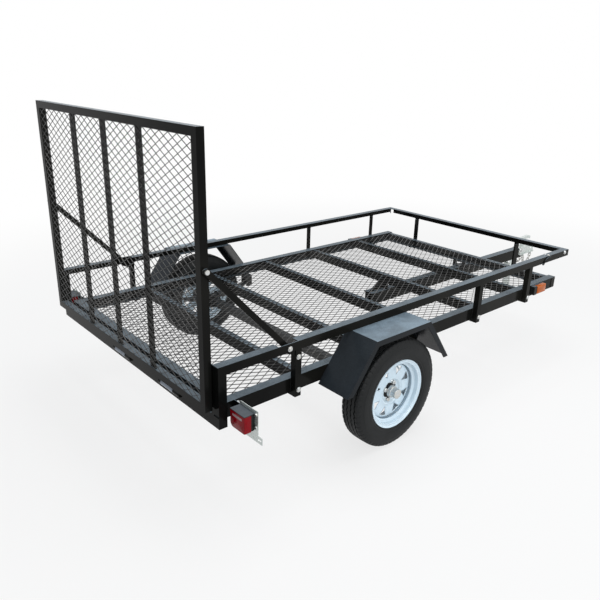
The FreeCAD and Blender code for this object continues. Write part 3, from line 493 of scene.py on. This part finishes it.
# ---- Wheels ---------------------------------------------------------------------------------------
# Pressed steel wheels in white enamel: a drop-centre rim with rolled edges, and a dished disc with
# eight triangular windows. The hub is black, with four nuts and a zinc dust cap.
enamel = finish("white enamel", paint, {"Colour": (0.66, 0.80, 0.90), "Dust and Sky Sheen Colour": (0.40, 0.42, 0.42),
                                        "Dust": 0.08, "Gloss Roughness": 0.16},
                {"Specular IOR Level": 0.5, "Coat Weight": 0.4, "Coat Roughness": 0.12}, (0.06, 0.0004))
wheel_y = 0.803
# outer side of the barrel from the disc out to the rolled edge, then the back: radius, distance out
barrel = [
    (0.1352, -0.020), (0.1352, 0.0195), (0.1362, 0.0225), (0.1432, 0.0262), (0.1490, 0.0290), (0.1500, 0.0325),
    (0.1500, 0.0450), (0.1508, 0.0470), (0.1525, 0.0482), (0.1545, 0.0480), (0.1565, 0.0470), (0.1585, 0.0474),
    (0.1605, 0.0494), (0.1635, 0.0510), (0.1664, 0.0530), (0.1677, 0.0530), (0.1683, 0.0508), (0.1672, 0.0490),
    (0.1640, 0.0472), (0.1590, 0.0452), (0.1545, 0.0448), (0.1540, 0.0430), (0.1540, 0.0300), (0.1532, 0.0280),
    (0.1470, 0.0252), (0.1398, 0.0215), (0.1390, 0.0195), (0.1390, -0.020)]
# disc from the rim in to the bore: radius, distance out
dish = [
    (0.1356, -0.0020), (0.1350, 0.0020), (0.1338, 0.0052), (0.1315, 0.0074), (0.1280, 0.0086), (0.1240, 0.0092),
    (0.1230, 0.0094), (0.1215, 0.0096), (0.1180, 0.0099), (0.1120, 0.0102), (0.1060, 0.0104), (0.1000, 0.0106),
    (0.0940, 0.0106), (0.0880, 0.0103), (0.0830, 0.0102), (0.0800, 0.0102), (0.0760, 0.0106), (0.0720, 0.0118),
    (0.0680, 0.0134), (0.0650, 0.0142), (0.0620, 0.0140), (0.0590, 0.0122), (0.0560, 0.0078), (0.0530, 0.0048),
    (0.0490, 0.0040), (0.0450, 0.0040), (0.0400, 0.0040), (0.0378, 0.0030), (0.0375, 0.0015)]


def window_disc(profile, windows, inner, outer, widest, lines):
    """A disc's radii, distances out and angles, (radii, angles), and the mask of its windows.

    Between windows the angle runs evenly; across a window it follows the window's own edges, which
    open from a rounded point at the inner radius to widest at the outer one.
    """
    profile = np.asarray(profile, float)
    radius, out = profile[:, 0], profile[:, 1]
    share = np.clip((radius - inner) / (outer - inner), 0.0, 1.0)
    round_off = np.sqrt(np.clip((1.0 - share) * 16, 0.72, 1))
    half = widest * (0.07 + 0.93 * share) * round_off
    away = np.clip(np.maximum(inner - radius, radius - outer) / 0.010, 0.0, 1.0)
    sector = 2 * np.pi / windows
    plain = sector / 4
    half = half * (1 - away) + plain * away
    across = np.linspace(-1.0, 1.0, lines)
    between = np.linspace(0.0, 1.0, lines)[1:-1]
    inside = across[None, :] * half[:, None]
    outside = half[:, None] + between[None, :] * (sector - 2 * half[:, None])
    one = np.concatenate([inside, outside], 1)
    turns = np.arange(windows) * sector
    angle = (turns[None, :, None] + one[:, None, :]).reshape(len(radius), -1)
    angle = np.concatenate([angle, angle[:, :1] + 2 * np.pi], 1)
    open_row = (radius[:-1] <= outer + 1e-9) & (radius[1:] >= inner - 1e-9)
    open_column = np.tile(np.arange(one.shape[1]) < lines - 1, windows)
    return radius, out, angle, open_row[:, None] & open_column[None, :]


def make_rim(tag, side):
    """A wheel's rim: two turned barrels back to back and the windowed disc, thickened by Solidify."""
    name, body, centre = f"wheel_rim_{tag}", f"wheel_{tag}", (axle_x, side * wheel_y, axle_z)
    outward = turned(barrel, [centre], (0, side, 0), 96)
    inward = turned(barrel, [centre], (0, -side, 0), 96)
    shell = mesh_piece(name, body, enamel, "white_rim", outward, inward, smooth=40.0)
    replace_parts(shell, f"rim_{tag}")
    radius, out, angle, hole = window_disc(dish, 8, 0.080, 0.1230, math.radians(11.8), 9)
    angle = angle + math.radians(22.5)
    nearness = np.clip((0.046 - radius) / 0.008, 0.0, 1.0)[:, None]
    reach = radius[:, None] - nearness * 0.0045 * np.cos(4 * (angle - first_stud))
    grid = np.stack([centre[0] + reach * np.cos(angle), centre[1] + side * out[:, None] + 0 * angle,
                     centre[2] + reach * np.sin(angle)], -1)
    index = np.arange(angle.size).reshape(angle.shape)
    quads = np.stack([index[:-1, :-1], index[1:, :-1], index[1:, 1:], index[:-1, 1:]], -1)[~hole]
    mesh = bpy.data.meshes.new(name + "_disc")
    mesh.from_pydata(grid.reshape(-1, 3), [], (quads[:, ::-1] if side > 0 else quads).tolist())
    press = bmesh.new()
    press.from_mesh(mesh)
    bmesh.ops.remove_doubles(press, verts=press.verts, dist=1e-5)
    bmesh.ops.recalc_face_normals(press, faces=press.faces)
    if sum(face.normal.y * face.calc_area() for face in press.faces) * side < 0:
        bmesh.ops.reverse_faces(press, faces=press.faces)
    press.to_mesh(mesh)
    press.free()
    wall = add_piece(name + "_disc", mesh, body, enamel, 50.0).modifiers.new("wall", "SOLIDIFY")
    wall.thickness, wall.offset, wall.use_even_offset = 0.0036, -1.0, True


# nuts with a coned seat, a dust cap pressed on the hub's nose, and a valve stem with its cap
nut = [(0.0, -0.004), (0.0115, -0.004), (0.0118, 0.0015), (0.0102, 0.0030), (0.0095, 0.0030), (0.0095, 0.0105),
       (0.0085, 0.0120), (0.0060, 0.0124), (0.0056, 0.0124), (0.0050, 0.0150), (0.0, 0.0152)]
cap = [(0.0, 0.0120), (0.0290, 0.0120), (0.0290, 0.0150), (0.0284, 0.0160), (0.0284, 0.0262), (0.0276, 0.0276),
       (0.0250, 0.0288), (0.0243, 0.0305), (0.0240, 0.0330), (0.0237, 0.0515), (0.0228, 0.0538),
       (0.0208, 0.0549), (0.0120, 0.0545), (0.0, 0.0543)]
valve = [(0.0, -0.002), (0.0055, -0.002), (0.0055, 0.004), (0.0040, 0.008), (0.0036, 0.020), (0.0044, 0.021),
         (0.0044, 0.033), (0.0036, 0.0345), (0.0, 0.0345)]
first_stud, stud_circle = math.radians(67.5), 0.042
valve_turn, valve_lean, valve_circle = math.radians(83.0), math.radians(32.0), 0.1335
for tag, side in (("right", -1), ("left", 1)):
    body = f"wheel_{tag}"
    make_rim(tag, side)
    angle = first_stud + np.radians(90 * np.arange(4))
    studs = np.stack([axle_x + stud_circle * np.cos(angle), np.full(4, side * (wheel_y + 0.004)),
                      axle_z + stud_circle * np.sin(angle)], 1)
    fixings = mesh_piece(f"{body}_nuts_and_cap", body, bolt_zinc, "zinc_steel",
                         turned(nut, studs, (0, side, 0), 24, across_flats=(4, 5)),
                         turned(cap, [(axle_x, side * wheel_y, axle_z)], (0, side, 0), 48))
    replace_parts(fixings, f"wheel_fixings_{tag}")
    outwards = np.array([math.cos(valve_turn), 0.0, math.sin(valve_turn)])
    root = (axle_x, side * (wheel_y + 0.013), axle_z) + valve_circle * outwards
    along = (0.0, side * math.cos(valve_lean), 0.0) - math.sin(valve_lean) * outwards
    mesh_piece(f"{body}_valve", body, bolt_zinc, "zinc_steel", turned(valve, [root], along, 16), smooth=50.0)


# ---- Tyres ---------------------------------------------------------------------------------------
# Narrow trailer tyres: four zigzag grooves round the tread, notched shoulders, fine mould rings on
# the walls. The rubber is dark, a little grey with road dust in the grooves and on the tread.
def tyre_points(around=480, zigzags=60, notch_deep=0.0030, groove_deep=0.0070):
    """A tyre's skin as radii, angles and offsets across, each (rows, angles).

    The tread's rows shift sideways with a triangle wave of the angle; groove rows drop to the groove's
    floor, and the shoulder rows drop over two steps in every eight to make the notches.
    """
    turn = np.linspace(0.0, 2 * np.pi, around + 1)
    turn[-1] = 0.0
    level = np.ones(around + 1)
    phase = (np.arange(around + 1) * zigzags / around) % 1.0
    wave = np.abs((phase * 2) % 2 - 1) * 2 - 1
    notch = (np.arange(around + 1) % 8) < 2
    wall = [(0.1700, 0.0475), (0.1700, 0.0510), (0.1722, 0.0534), (0.1762, 0.0542), (0.1790, 0.0556),
            (0.1796, 0.0566), (0.1806, 0.0572), (0.1816, 0.0570), (0.1900, 0.0584), (0.1905, 0.0590),
            (0.1915, 0.0591), (0.1920, 0.0585), (0.2010, 0.0592), (0.2100, 0.0593), (0.2200, 0.0587),
            (0.2260, 0.0580), (0.2264, 0.0584), (0.2276, 0.0582), (0.2280, 0.0576), (0.2340, 0.0562),
            (0.2420, 0.0541), (0.2462, 0.0528)]
    shoulder = [(0.2466, 0.0532, 0), (0.2500, 0.0520, 1), (0.2550, 0.0498, 1), (0.2600, 0.0468, 1),
                (0.2624, 0.0445, 1)]
    side = [(r * level, y) for r, y in wall]
    side += [(np.where(notch, r - notch_deep * cut, r), y) for r, y, cut in shoulder]
    rows = [(r, y * level) for r, y in side]
    for centre in (0.0318, 0.0110, -0.0110, -0.0318):
        for beside, deep in ((0.0030, 0), (0.0016, 1), (-0.0016, 1), (-0.0030, 0)):
            place = centre + beside + 0.0022 * wave
            rows.append((0.2648 - 0.0016 * (place / 0.044) ** 2 - groove_deep * deep, place))
    rows += [(r, -y * level) for r, y in side[::-1]] + rows[:1]
    radius, offset = np.array(rows).transpose(1, 0, 2)
    radius[:, -1], offset[:, -1] = radius[:, 0], offset[:, 0]
    return radius, np.repeat(turn[None], len(rows), 0), offset


def rubber_group():
    """Tyre rubber: near black with a slow grey bloom, dust in specks, and the grain of the mould."""
    group, given, place = new_group(
        "tyre rubber", {"Colour": (0.02, 0.02, 0.02), "Bloom": (0.07, 0.068, 0.066)}, {"Dust": 0.3})
    bloom = spread(group, noise(group, place, 11.0, 5.0, 0.62), 0.35, 0.7)
    specks = spread(group, noise(group, place, 240.0, 2.0, 0.6), 0.5, 0.8)
    clouds = plus(group, bloom, times(group, specks, 0.6))
    grey = node(group, "ShaderNodeMath", {"operation": "MULTIPLY", "use_clamp": True}, in_0=clouds,
                in_1=given["Dust"]).outputs[0]
    return put_out(group, blend_colour(group, grey, given["Colour"], given["Bloom"]),
                   plus(group, times(group, bloom, 0.14), 0.5),
                   plus(group, noise(group, place, 900.0, 2.0), noise(group, place, 130.0, 3.0)))


rubber = finish("tyre rubber", rubber_group(),
                {"Colour": (0.0045, 0.0055, 0.0062), "Bloom": (0.024, 0.025, 0.025), "Dust": 0.25},
                {"Specular IOR Level": 0.22}, (0.3, 0.0005))
radius, turn, offset = tyre_points()
for tag, side in (("right", -1), ("left", 1)):
    skin = np.stack([axle_x + radius * np.cos(turn), side * (wheel_y + offset),
                     axle_z + radius * np.sin(turn)], -1)
    tyre = mesh_piece(f"tyre_{tag}_treaded", f"wheel_{tag}", rubber, "tyre", skin[None], smooth=30.0)
    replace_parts(tyre, f"tyre_{tag}")

# ---- Fenders --------------------------------------------------------------------------------------
# Folded from one sheet each, bolted to the side rail, and powder-coated like the frame. The large flat faces show
# the coat's slow waves, and those that look up a lighter slate blue, a stronger painted reflection of the sky.
fender_black = finish("fender black", paint,
                      {"Colour": (0.010, 0.012, 0.015), "Drift": 0.1, "Dust and Sky Sheen Colour": (0.20, 0.265, 0.32),
                       "Dust": 0.95, "Gloss Roughness": 0.14}, {"Specular IOR Level": 0.08}, (0.10, 0.0005))
dress(fender_black, "fender_right", "fender_left")

# ---- Tail lamps -----------------------------------------------------------------------------------
# Square combination lamps: a ribbed red lens with a clear strip on a black base, held by two studs
# to a galvanised plate that is bolted to an arm on the side rail.
galvanised = finish("galvanised plate", zinc,
                    {"Colour": (0.62, 0.66, 0.64), "Passivate": (0.5, 0.55, 0.53), "Amount": 0.7},
                    {"Metallic": 0.55, "Specular IOR Level": 0.5}, (0.2, 0.0004))
dress(galvanised, "lamp_brackets")


def lens_group():
    """Moulded lens: colour darker in stripes along fine prism ribs across, a painted shading of the prisms, and
    small flecks of dust.
    """
    group, given, place = new_group(
        "lens", {"Colour": (0.5, 0.01, 0.02), "Deep and Rib Shade": (0.2, 0.0, 0.01)}, {"Ribs": 180.0})
    up = node(group, "ShaderNodeSeparateXYZ", Vector=place).outputs["Z"]
    turns = times(group, up, times(group, given["Ribs"], 2 * math.pi))
    ribs = spread(group, node(group, "ShaderNodeMath", {"operation": "SINE"}, in_0=turns).outputs[0], -1.0, 1.0)
    cloud = spread(group, noise(group, place, 30.0, 3.0), 0.3, 0.7)
    # The ribs darken the colour in stripes: painted shading of the prisms; the cloud is random tone.
    shade = plus(group, times(group, ribs, 0.35), times(group, cloud, 0.3))
    return put_out(group, blend_colour(group, shade, given["Colour"], given["Deep and Rib Shade"]),
                   plus(group, times(group, cloud, 0.08), 0.08), ribs)


lens = lens_group()
red_lens = finish("red lens", lens,
                  {"Colour": (0.26, 0.002, 0.007), "Deep and Rib Shade": (0.12, 0.001, 0.004), "Ribs": 160.0},
                  {"Specular IOR Level": 0.12}, (0.5, 0.0006))
clear_lens = finish("clear lens", lens,
                    {"Colour": (0.36, 0.26, 0.27), "Deep and Rib Shade": (0.22, 0.13, 0.14), "Ribs": 400.0},
                    {"Specular IOR Level": 0.3}, (0.4, 0.0004))
# The black plastic's faces that look up take slate blue at nearly full share: a painted reflection of the sky.
lamp_base = finish("lamp base plastic", paint,
                   {"Colour": (0.006, 0.006, 0.006), "Dust and Sky Sheen Colour": (0.115, 0.135, 0.155), "Dust": 0.95,
                    "Gloss Roughness": 0.40, "Peel Scale": 900.0}, {"Specular IOR Level": 0.2}, (0.2, 0.0003))


def rounded_outline(width, height, corners, steps=7):
    """A closed outline about the origin, with a radius for each corner from the lower left, anticlockwise."""
    points = []
    for radius, sx, sy, start in zip(corners, (-1, 1, 1, -1), (-1, -1, 1, 1), (180, 270, 0, 90)):
        angle = np.radians(np.linspace(start, start + 90, steps))
        points.append(np.stack([sx * (width / 2 - radius) + radius * np.cos(angle),
                                sy * (height / 2 - radius) + radius * np.sin(angle)], 1))
    outline = np.concatenate(points)
    return np.concatenate([outline, outline[:1]])


def capped_block(outline, levels, place):
    """A block along one outline: its levels are (distance inward, distance along), and None is its middle.

    place turns the outline's two coordinates and the distance along into points.
    """
    size = np.abs(outline).max(0)
    layers = []
    for inward, distance in levels:
        across, up = (outline * (np.zeros(2) if inward is None else (size - inward) / size)).T
        layers.append(place(across, up, distance))
    return np.stack(layers)[None]


low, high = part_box("tail_lamps")
lamp_width, lamp_height, lamp_depth = 0.093, high.z - low.z, high.x - low.x
lens_depth, cover, strip_down = 0.031, 0.0025, 0.019
lens_outline = rounded_outline(lamp_width, lamp_height - cover, (0.020, 0.005, 0.003, 0.003))
base_outline = rounded_outline(lamp_width - 0.003, lamp_height - cover - 0.003, (0.019, 0.005, 0.003, 0.003))
cover_outline = rounded_outline(lamp_depth, lamp_width, (0.003,) * 4)
strip_outline = rounded_outline(0.060, 0.0115, (0.002,) * 4)
lens_levels = [(None, 0.0), (0.004, 0.0), (0.0012, 0.0012), (0.0, 0.005), (0.0, lens_depth), (None, lens_depth)]
base_levels = [(None, lens_depth), (0.0, lens_depth), (0.0, lamp_depth - 0.003), (0.003, lamp_depth),
               (None, lamp_depth)]
strip_levels = [(None, -0.0004), (0.0008, -0.0004), (0.0, 0.0008), (0.0, 0.002), (None, 0.002)]
cover_levels = [(None, -cover), (0.0, -cover), (0.0, -0.0008), (0.0008, 0.0), (None, 0.0)]
for tag, side in (("right", -1), ("left", 1)):
    middle_y, middle_z = side * (high.y - lamp_width / 2), (low.z + high.z - cover) / 2

    def on_rear(centre_z):
        """Places a block on the lamp's rear face, its middle at a height."""
        return lambda a, b, deep: np.stack([low.x + deep + 0 * a, middle_y + side * a, centre_z + b], -1)

    def on_top(a, b, deep):
        """Places a block on the lamp's top."""
        return np.stack([low.x + lamp_depth / 2 + a, middle_y + side * b, high.z + deep + 0 * a], -1)

    lamp = mesh_piece(f"tail_lamp_{tag}_lens", "root", red_lens, "red_lens",
                      capped_block(lens_outline, lens_levels, on_rear(middle_z)))
    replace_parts(lamp, "tail_lamps")
    mesh_piece(f"tail_lamp_{tag}_base", "root", lamp_base, "powder_black",
               capped_block(base_outline, base_levels, on_rear(middle_z)),
               capped_block(cover_outline, cover_levels, on_top))
    mesh_piece(f"tail_lamp_{tag}_strip", "root", clear_lens, "red_lens",
               capped_block(strip_outline, strip_levels, on_rear(high.z - strip_down)))
    plate_bolts = [(high.x, side * (high.y + 0.0085), z) for z in (0.400, 0.4545)]
    studs = [(high.x + 0.0025, middle_y + dy, 0.420) for dy in (-0.025, 0.025)]
    arm_bolt = (high.x + 0.016, side * 0.7005, 0.4365)
    mesh_piece(f"tail_lamp_{tag}_fixings", "root", bolt_zinc, "zinc_steel",
               hex_bolts(plate_bolts, (-1, 0, 0), 0.0055, 0.006, 0.0078),
               hex_bolts(studs, (1, 0, 0), 0.0055, 0.005, 0.008),
               hex_bolts([arm_bolt], (0, side, 0), 0.0065, 0.006, 0.009))

# ---- Side markers ---------------------------------------------------------------------------------
# An amber lens with bevelled edges and a square black block share a thin black foot on the outer
# face of each side rail. All three are moulded plastic.
amber_lens = finish("amber lens", lens,
                    {"Colour": (0.55, 0.125, 0.008), "Deep and Rib Shade": (0.21, 0.036, 0.003), "Ribs": 130.0},
                    {"Specular IOR Level": 0.2}, (0.5, 0.0006))
low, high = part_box("side_markers")
marker_length, marker_height, lens_length = 0.130, high.z - low.z, 0.097
foot = rounded_outline(marker_length, marker_height, (0.004,) * 4)
block = rounded_outline(marker_length - lens_length - 0.001, marker_height - 0.001, (0.003,) * 4)
window = rounded_outline(lens_length, marker_height - 0.004, (0.004,) * 4)
foot_levels = [(None, 0.6981), (0.0, 0.6981), (0.0, 0.7045), (0.0012, 0.7060), (None, 0.7060)]
block_levels = [(None, 0.705), (0.0, 0.705), (0.0, 0.7235), (0.0015, 0.7250), (None, 0.7250)]
window_levels = [(None, 0.705), (0.0, 0.705), (0.0004, 0.7240), (0.0020, 0.7268), (0.0050, 0.7276),
                 (None, 0.7278)]
for tag, side, centre_x in (("right", -1, 0.5955), ("left", 1, 0.4645)):

    def on_rail(ahead):
        """Places a block on the side rail's web, its middle a distance ahead of the marker's own."""
        return lambda a, b, out: np.stack([centre_x + ahead + a, side * out + 0 * a,
                                           (low.z + high.z) / 2 + b], -1)

    base = mesh_piece(f"side_marker_{tag}_base", "root", lamp_base, "powder_black",
                      capped_block(foot, foot_levels, on_rail(0.0)),
                      capped_block(block, block_levels, on_rail(-lens_length / 2)))
    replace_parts(base, "side_markers")
    mesh_piece(f"side_marker_{tag}_lens", "root", amber_lens, "amber_lens",
               capped_block(window, window_levels, on_rail((marker_length - lens_length) / 2)), smooth=50.0)


# ---- Coupler, chains and parking leg --------------------------------------------------------------
# A pressed, galvanised ball coupler bolted across the tongue, with a lever latch. Two short chains
# hang under it, and a zinc-plated leg with a square foot folds back under the tongue.
dress(galvanised, "coupler", "coupler_socket", "coupler_latch", "chain_eyes", "jack_bracket", "jack_leg",
      "jack_foot")
bolt_spots, coupler_half = ((1.5645, 0.318), (1.5645, 0.340), (1.5905, 0.329)), 0.0295
mesh_piece("coupler_bolts", "root", bolt_zinc, "zinc_steel",
           hex_bolts([(x, -coupler_half, z) for x, z in bolt_spots], (0, -1, 0)),
           hex_bolts([(x, coupler_half, z) for x, z in bolt_spots], (0, 1, 0)))


def chain_links(length, width, wire, count, pitch, span, start_x, height, across):
    """Oval links hung on a catenary: link k turns a quarter about the chain from link k - 1.

    A link's middle line is two half circles joined by straight sides, and its wire is round. The
    catenary's scale is found by halving, so that its length is pitch times count over the span.
    """
    low_turn, high_turn = 0.01, 60.0
    for _ in range(60):
        turn = (low_turn + high_turn) / 2
        if math.sinh(turn) / turn < pitch * count / span:
            low_turn = turn
        else:
            high_turn = turn
    scale = span / (2 * turn)
    x = scale * np.arcsinh((np.arange(count + 1) * pitch - pitch * count / 2) / scale)
    sunk = scale * (np.cosh(x / scale) - math.cosh(turn))
    line = np.stack([start_x + span / 2 + x, across + 0 * x, height + sunk], 1)
    middle, run = (line[1:] + line[:-1]) / 2, line[1:] - line[:-1]
    run = run / np.linalg.norm(run, axis=1)[:, None]
    level = np.tile((0.0, 1.0, 0.0), (count, 1))
    flat = (np.arange(count) % 2 == 0)[:, None]
    side = np.where(flat, level, np.cross(run, level))
    bend = width / 2 - wire
    reach = length / 2 - wire - bend
    angle = np.linspace(0.0, 2 * np.pi, 33)
    angle[-1] = 0.0
    cosine = np.cos(angle)
    along = bend * cosine + reach * np.sign(np.where(np.abs(cosine) < 1e-6, 1, cosine))
    beside = bend * np.sin(angle)
    path = middle[:, None] + along[None, :, None] * run[:, None] + beside[None, :, None] * side[:, None]
    tangent = np.roll(path[:, :-1], -1, 1) - np.roll(path[:, :-1], 1, 1)
    tangent = np.concatenate([tangent, tangent[:, :1]], 1)
    tangent = tangent / np.linalg.norm(tangent, axis=2, keepdims=True)
    normal = np.cross(run, side)[:, None]
    outward = np.cross(tangent, normal)
    turn_round = np.linspace(0.0, 2 * np.pi, 9)
    turn_round[-1] = 0.0
    ring = (np.cos(turn_round)[:, None] * normal[..., None, :]
            + np.sin(turn_round)[:, None] * outward[..., None, :])
    return path[..., None, :] + wire * ring


chain_zinc = finish("chain zinc", zinc, {"Colour": (0.55, 0.56, 0.56), "Amount": 0.4}, {"Metallic": 0.8},
                    (0.2, 0.0003))
chains = [chain_links(length=0.038, width=0.025, wire=0.003, count=9, pitch=0.0226, span=0.110,
                      start_x=1.6045, height=0.2897, across=y) for y in (-0.0325, 0.0325)]
chain = mesh_piece("safety_chain_links", "root", chain_zinc, "zinc_steel", *chains, smooth=60.0)
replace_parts(chain, "safety_chains")


# ---- Floor, light and camera ------------------------------------------------------------------------
# A plain pale floor that fades to white, in a white room. One large soft light hangs over the
# trailer and a weaker one stands beside it.
def seen_directly(tree):
    """1 for the rays of the camera and those that mirrors and glass send on, otherwise 0."""
    rays = node(tree, "ShaderNodeLightPath").outputs
    share = rays["Is Camera Ray"]
    for title in ("Is Glossy Ray", "Is Transmission Ray"):
        share = node(tree, "ShaderNodeMath", {"operation": "MAXIMUM"}, in_0=share, in_1=rays[title]).outputs[0]
    return share


def light_by_rays(tree, share, plain, seen, output):
    """Mixes a plain shader and one for the rays that see it, into a tree's output node."""
    mixed = node(tree, "ShaderNodeMixShader", in_0=share, in_1=plain.outputs[0], in_2=seen.outputs[0])
    tree.links.new(mixed.outputs[0], node(tree, output).inputs["Surface"])


floor_mesh = bpy.data.meshes.new("floor")
floor_mesh.from_pydata([(-30, -30, 0), (30, -30, 0), (30, 30, 0), (-30, 30, 0)], [], [(0, 1, 2, 3)])
floor = bpy.data.objects.new("floor", floor_mesh)
bpy.context.scene.collection.objects.link(floor)
floor_paint = bpy.data.materials.new("pale floor")
floor_paint.use_nodes = True
tree = floor_paint.node_tree
tree.nodes.clear()
place = node(tree, "ShaderNodeTexCoord").outputs["Object"]
away = node(tree, "ShaderNodeVectorMath", {"operation": "LENGTH"}, in_0=place).outputs["Value"]
light_by_rays(tree, times(tree, seen_directly(tree), spread(tree, away, 1.5, 5.0, 0.74, 1.0)),
              node(tree, "ShaderNodeBsdfDiffuse", Color=(0.62, 0.62, 0.62, 1)),
              node(tree, "ShaderNodeEmission", Color=(1, 1, 1, 1), Strength=1.0), "ShaderNodeOutputMaterial")
floor_mesh.materials.append(floor_paint)

world = bpy.data.worlds.new("studio")
bpy.context.scene.world = world
world.use_nodes = True
tree = world.node_tree
tree.nodes.clear()
light_by_rays(tree, seen_directly(tree),
              node(tree, "ShaderNodeBackground", Color=(0.93, 0.97, 1.0, 1), Strength=0.55),
              node(tree, "ShaderNodeBackground", Color=(1, 1, 1, 1), Strength=1.0), "ShaderNodeOutputWorld")


def soft_light(name, place, aim, size, power):
    """A square area light at a place, facing a point."""
    lamp = bpy.data.lights.new(name, "AREA")
    lamp.shape, lamp.size, lamp.energy = "SQUARE", size, power
    made = bpy.data.objects.new(name, lamp)
    back = np.array(place, float) - np.array(aim, float)
    back = back / np.linalg.norm(back)
    right = np.cross((0, 1, 0) if abs(back[2]) > 0.99 else (0, 0, 1), back)
    right = right / np.linalg.norm(right)
    turn = np.stack([right, np.cross(back, right), back], 1)
    made.matrix_world = Matrix(np.block([[turn, np.array(place, float)[:, None]], [0, 0, 0, 1]]).tolist())
    bpy.context.scene.collection.objects.link(made)


soft_light("overhead", (-0.3, -0.4, 4.6), (-0.1, 0.0, 0.3), 4.0, 190.0)
soft_light("beside", (-0.6, -5.6, 2.6), (-0.2, -0.2, 0.4), 3.0, 105.0)

camera = bpy.data.cameras.new("view")
camera.sensor_width, camera.lens = 36.0, 627.13 / 600 * 36.0
camera.clip_start, camera.clip_end = 0.05, 100.0
view = bpy.data.objects.new("view", camera)
look = np.array([(0.7549, -0.6554, 0.0235), (0.2165, 0.2828, 0.9344), (-0.6190, -0.7000, 0.3550)])
spot = np.array([[-2.87203], [-2.45305], [1.67909]])
view.matrix_world = Matrix(np.block([[look.T, spot], [0, 0, 0, 1]]).tolist())
bpy.context.scene.collection.objects.link(view)
bpy.context.scene.camera = view
bpy.context.scene.view_settings.view_transform = "Standard"
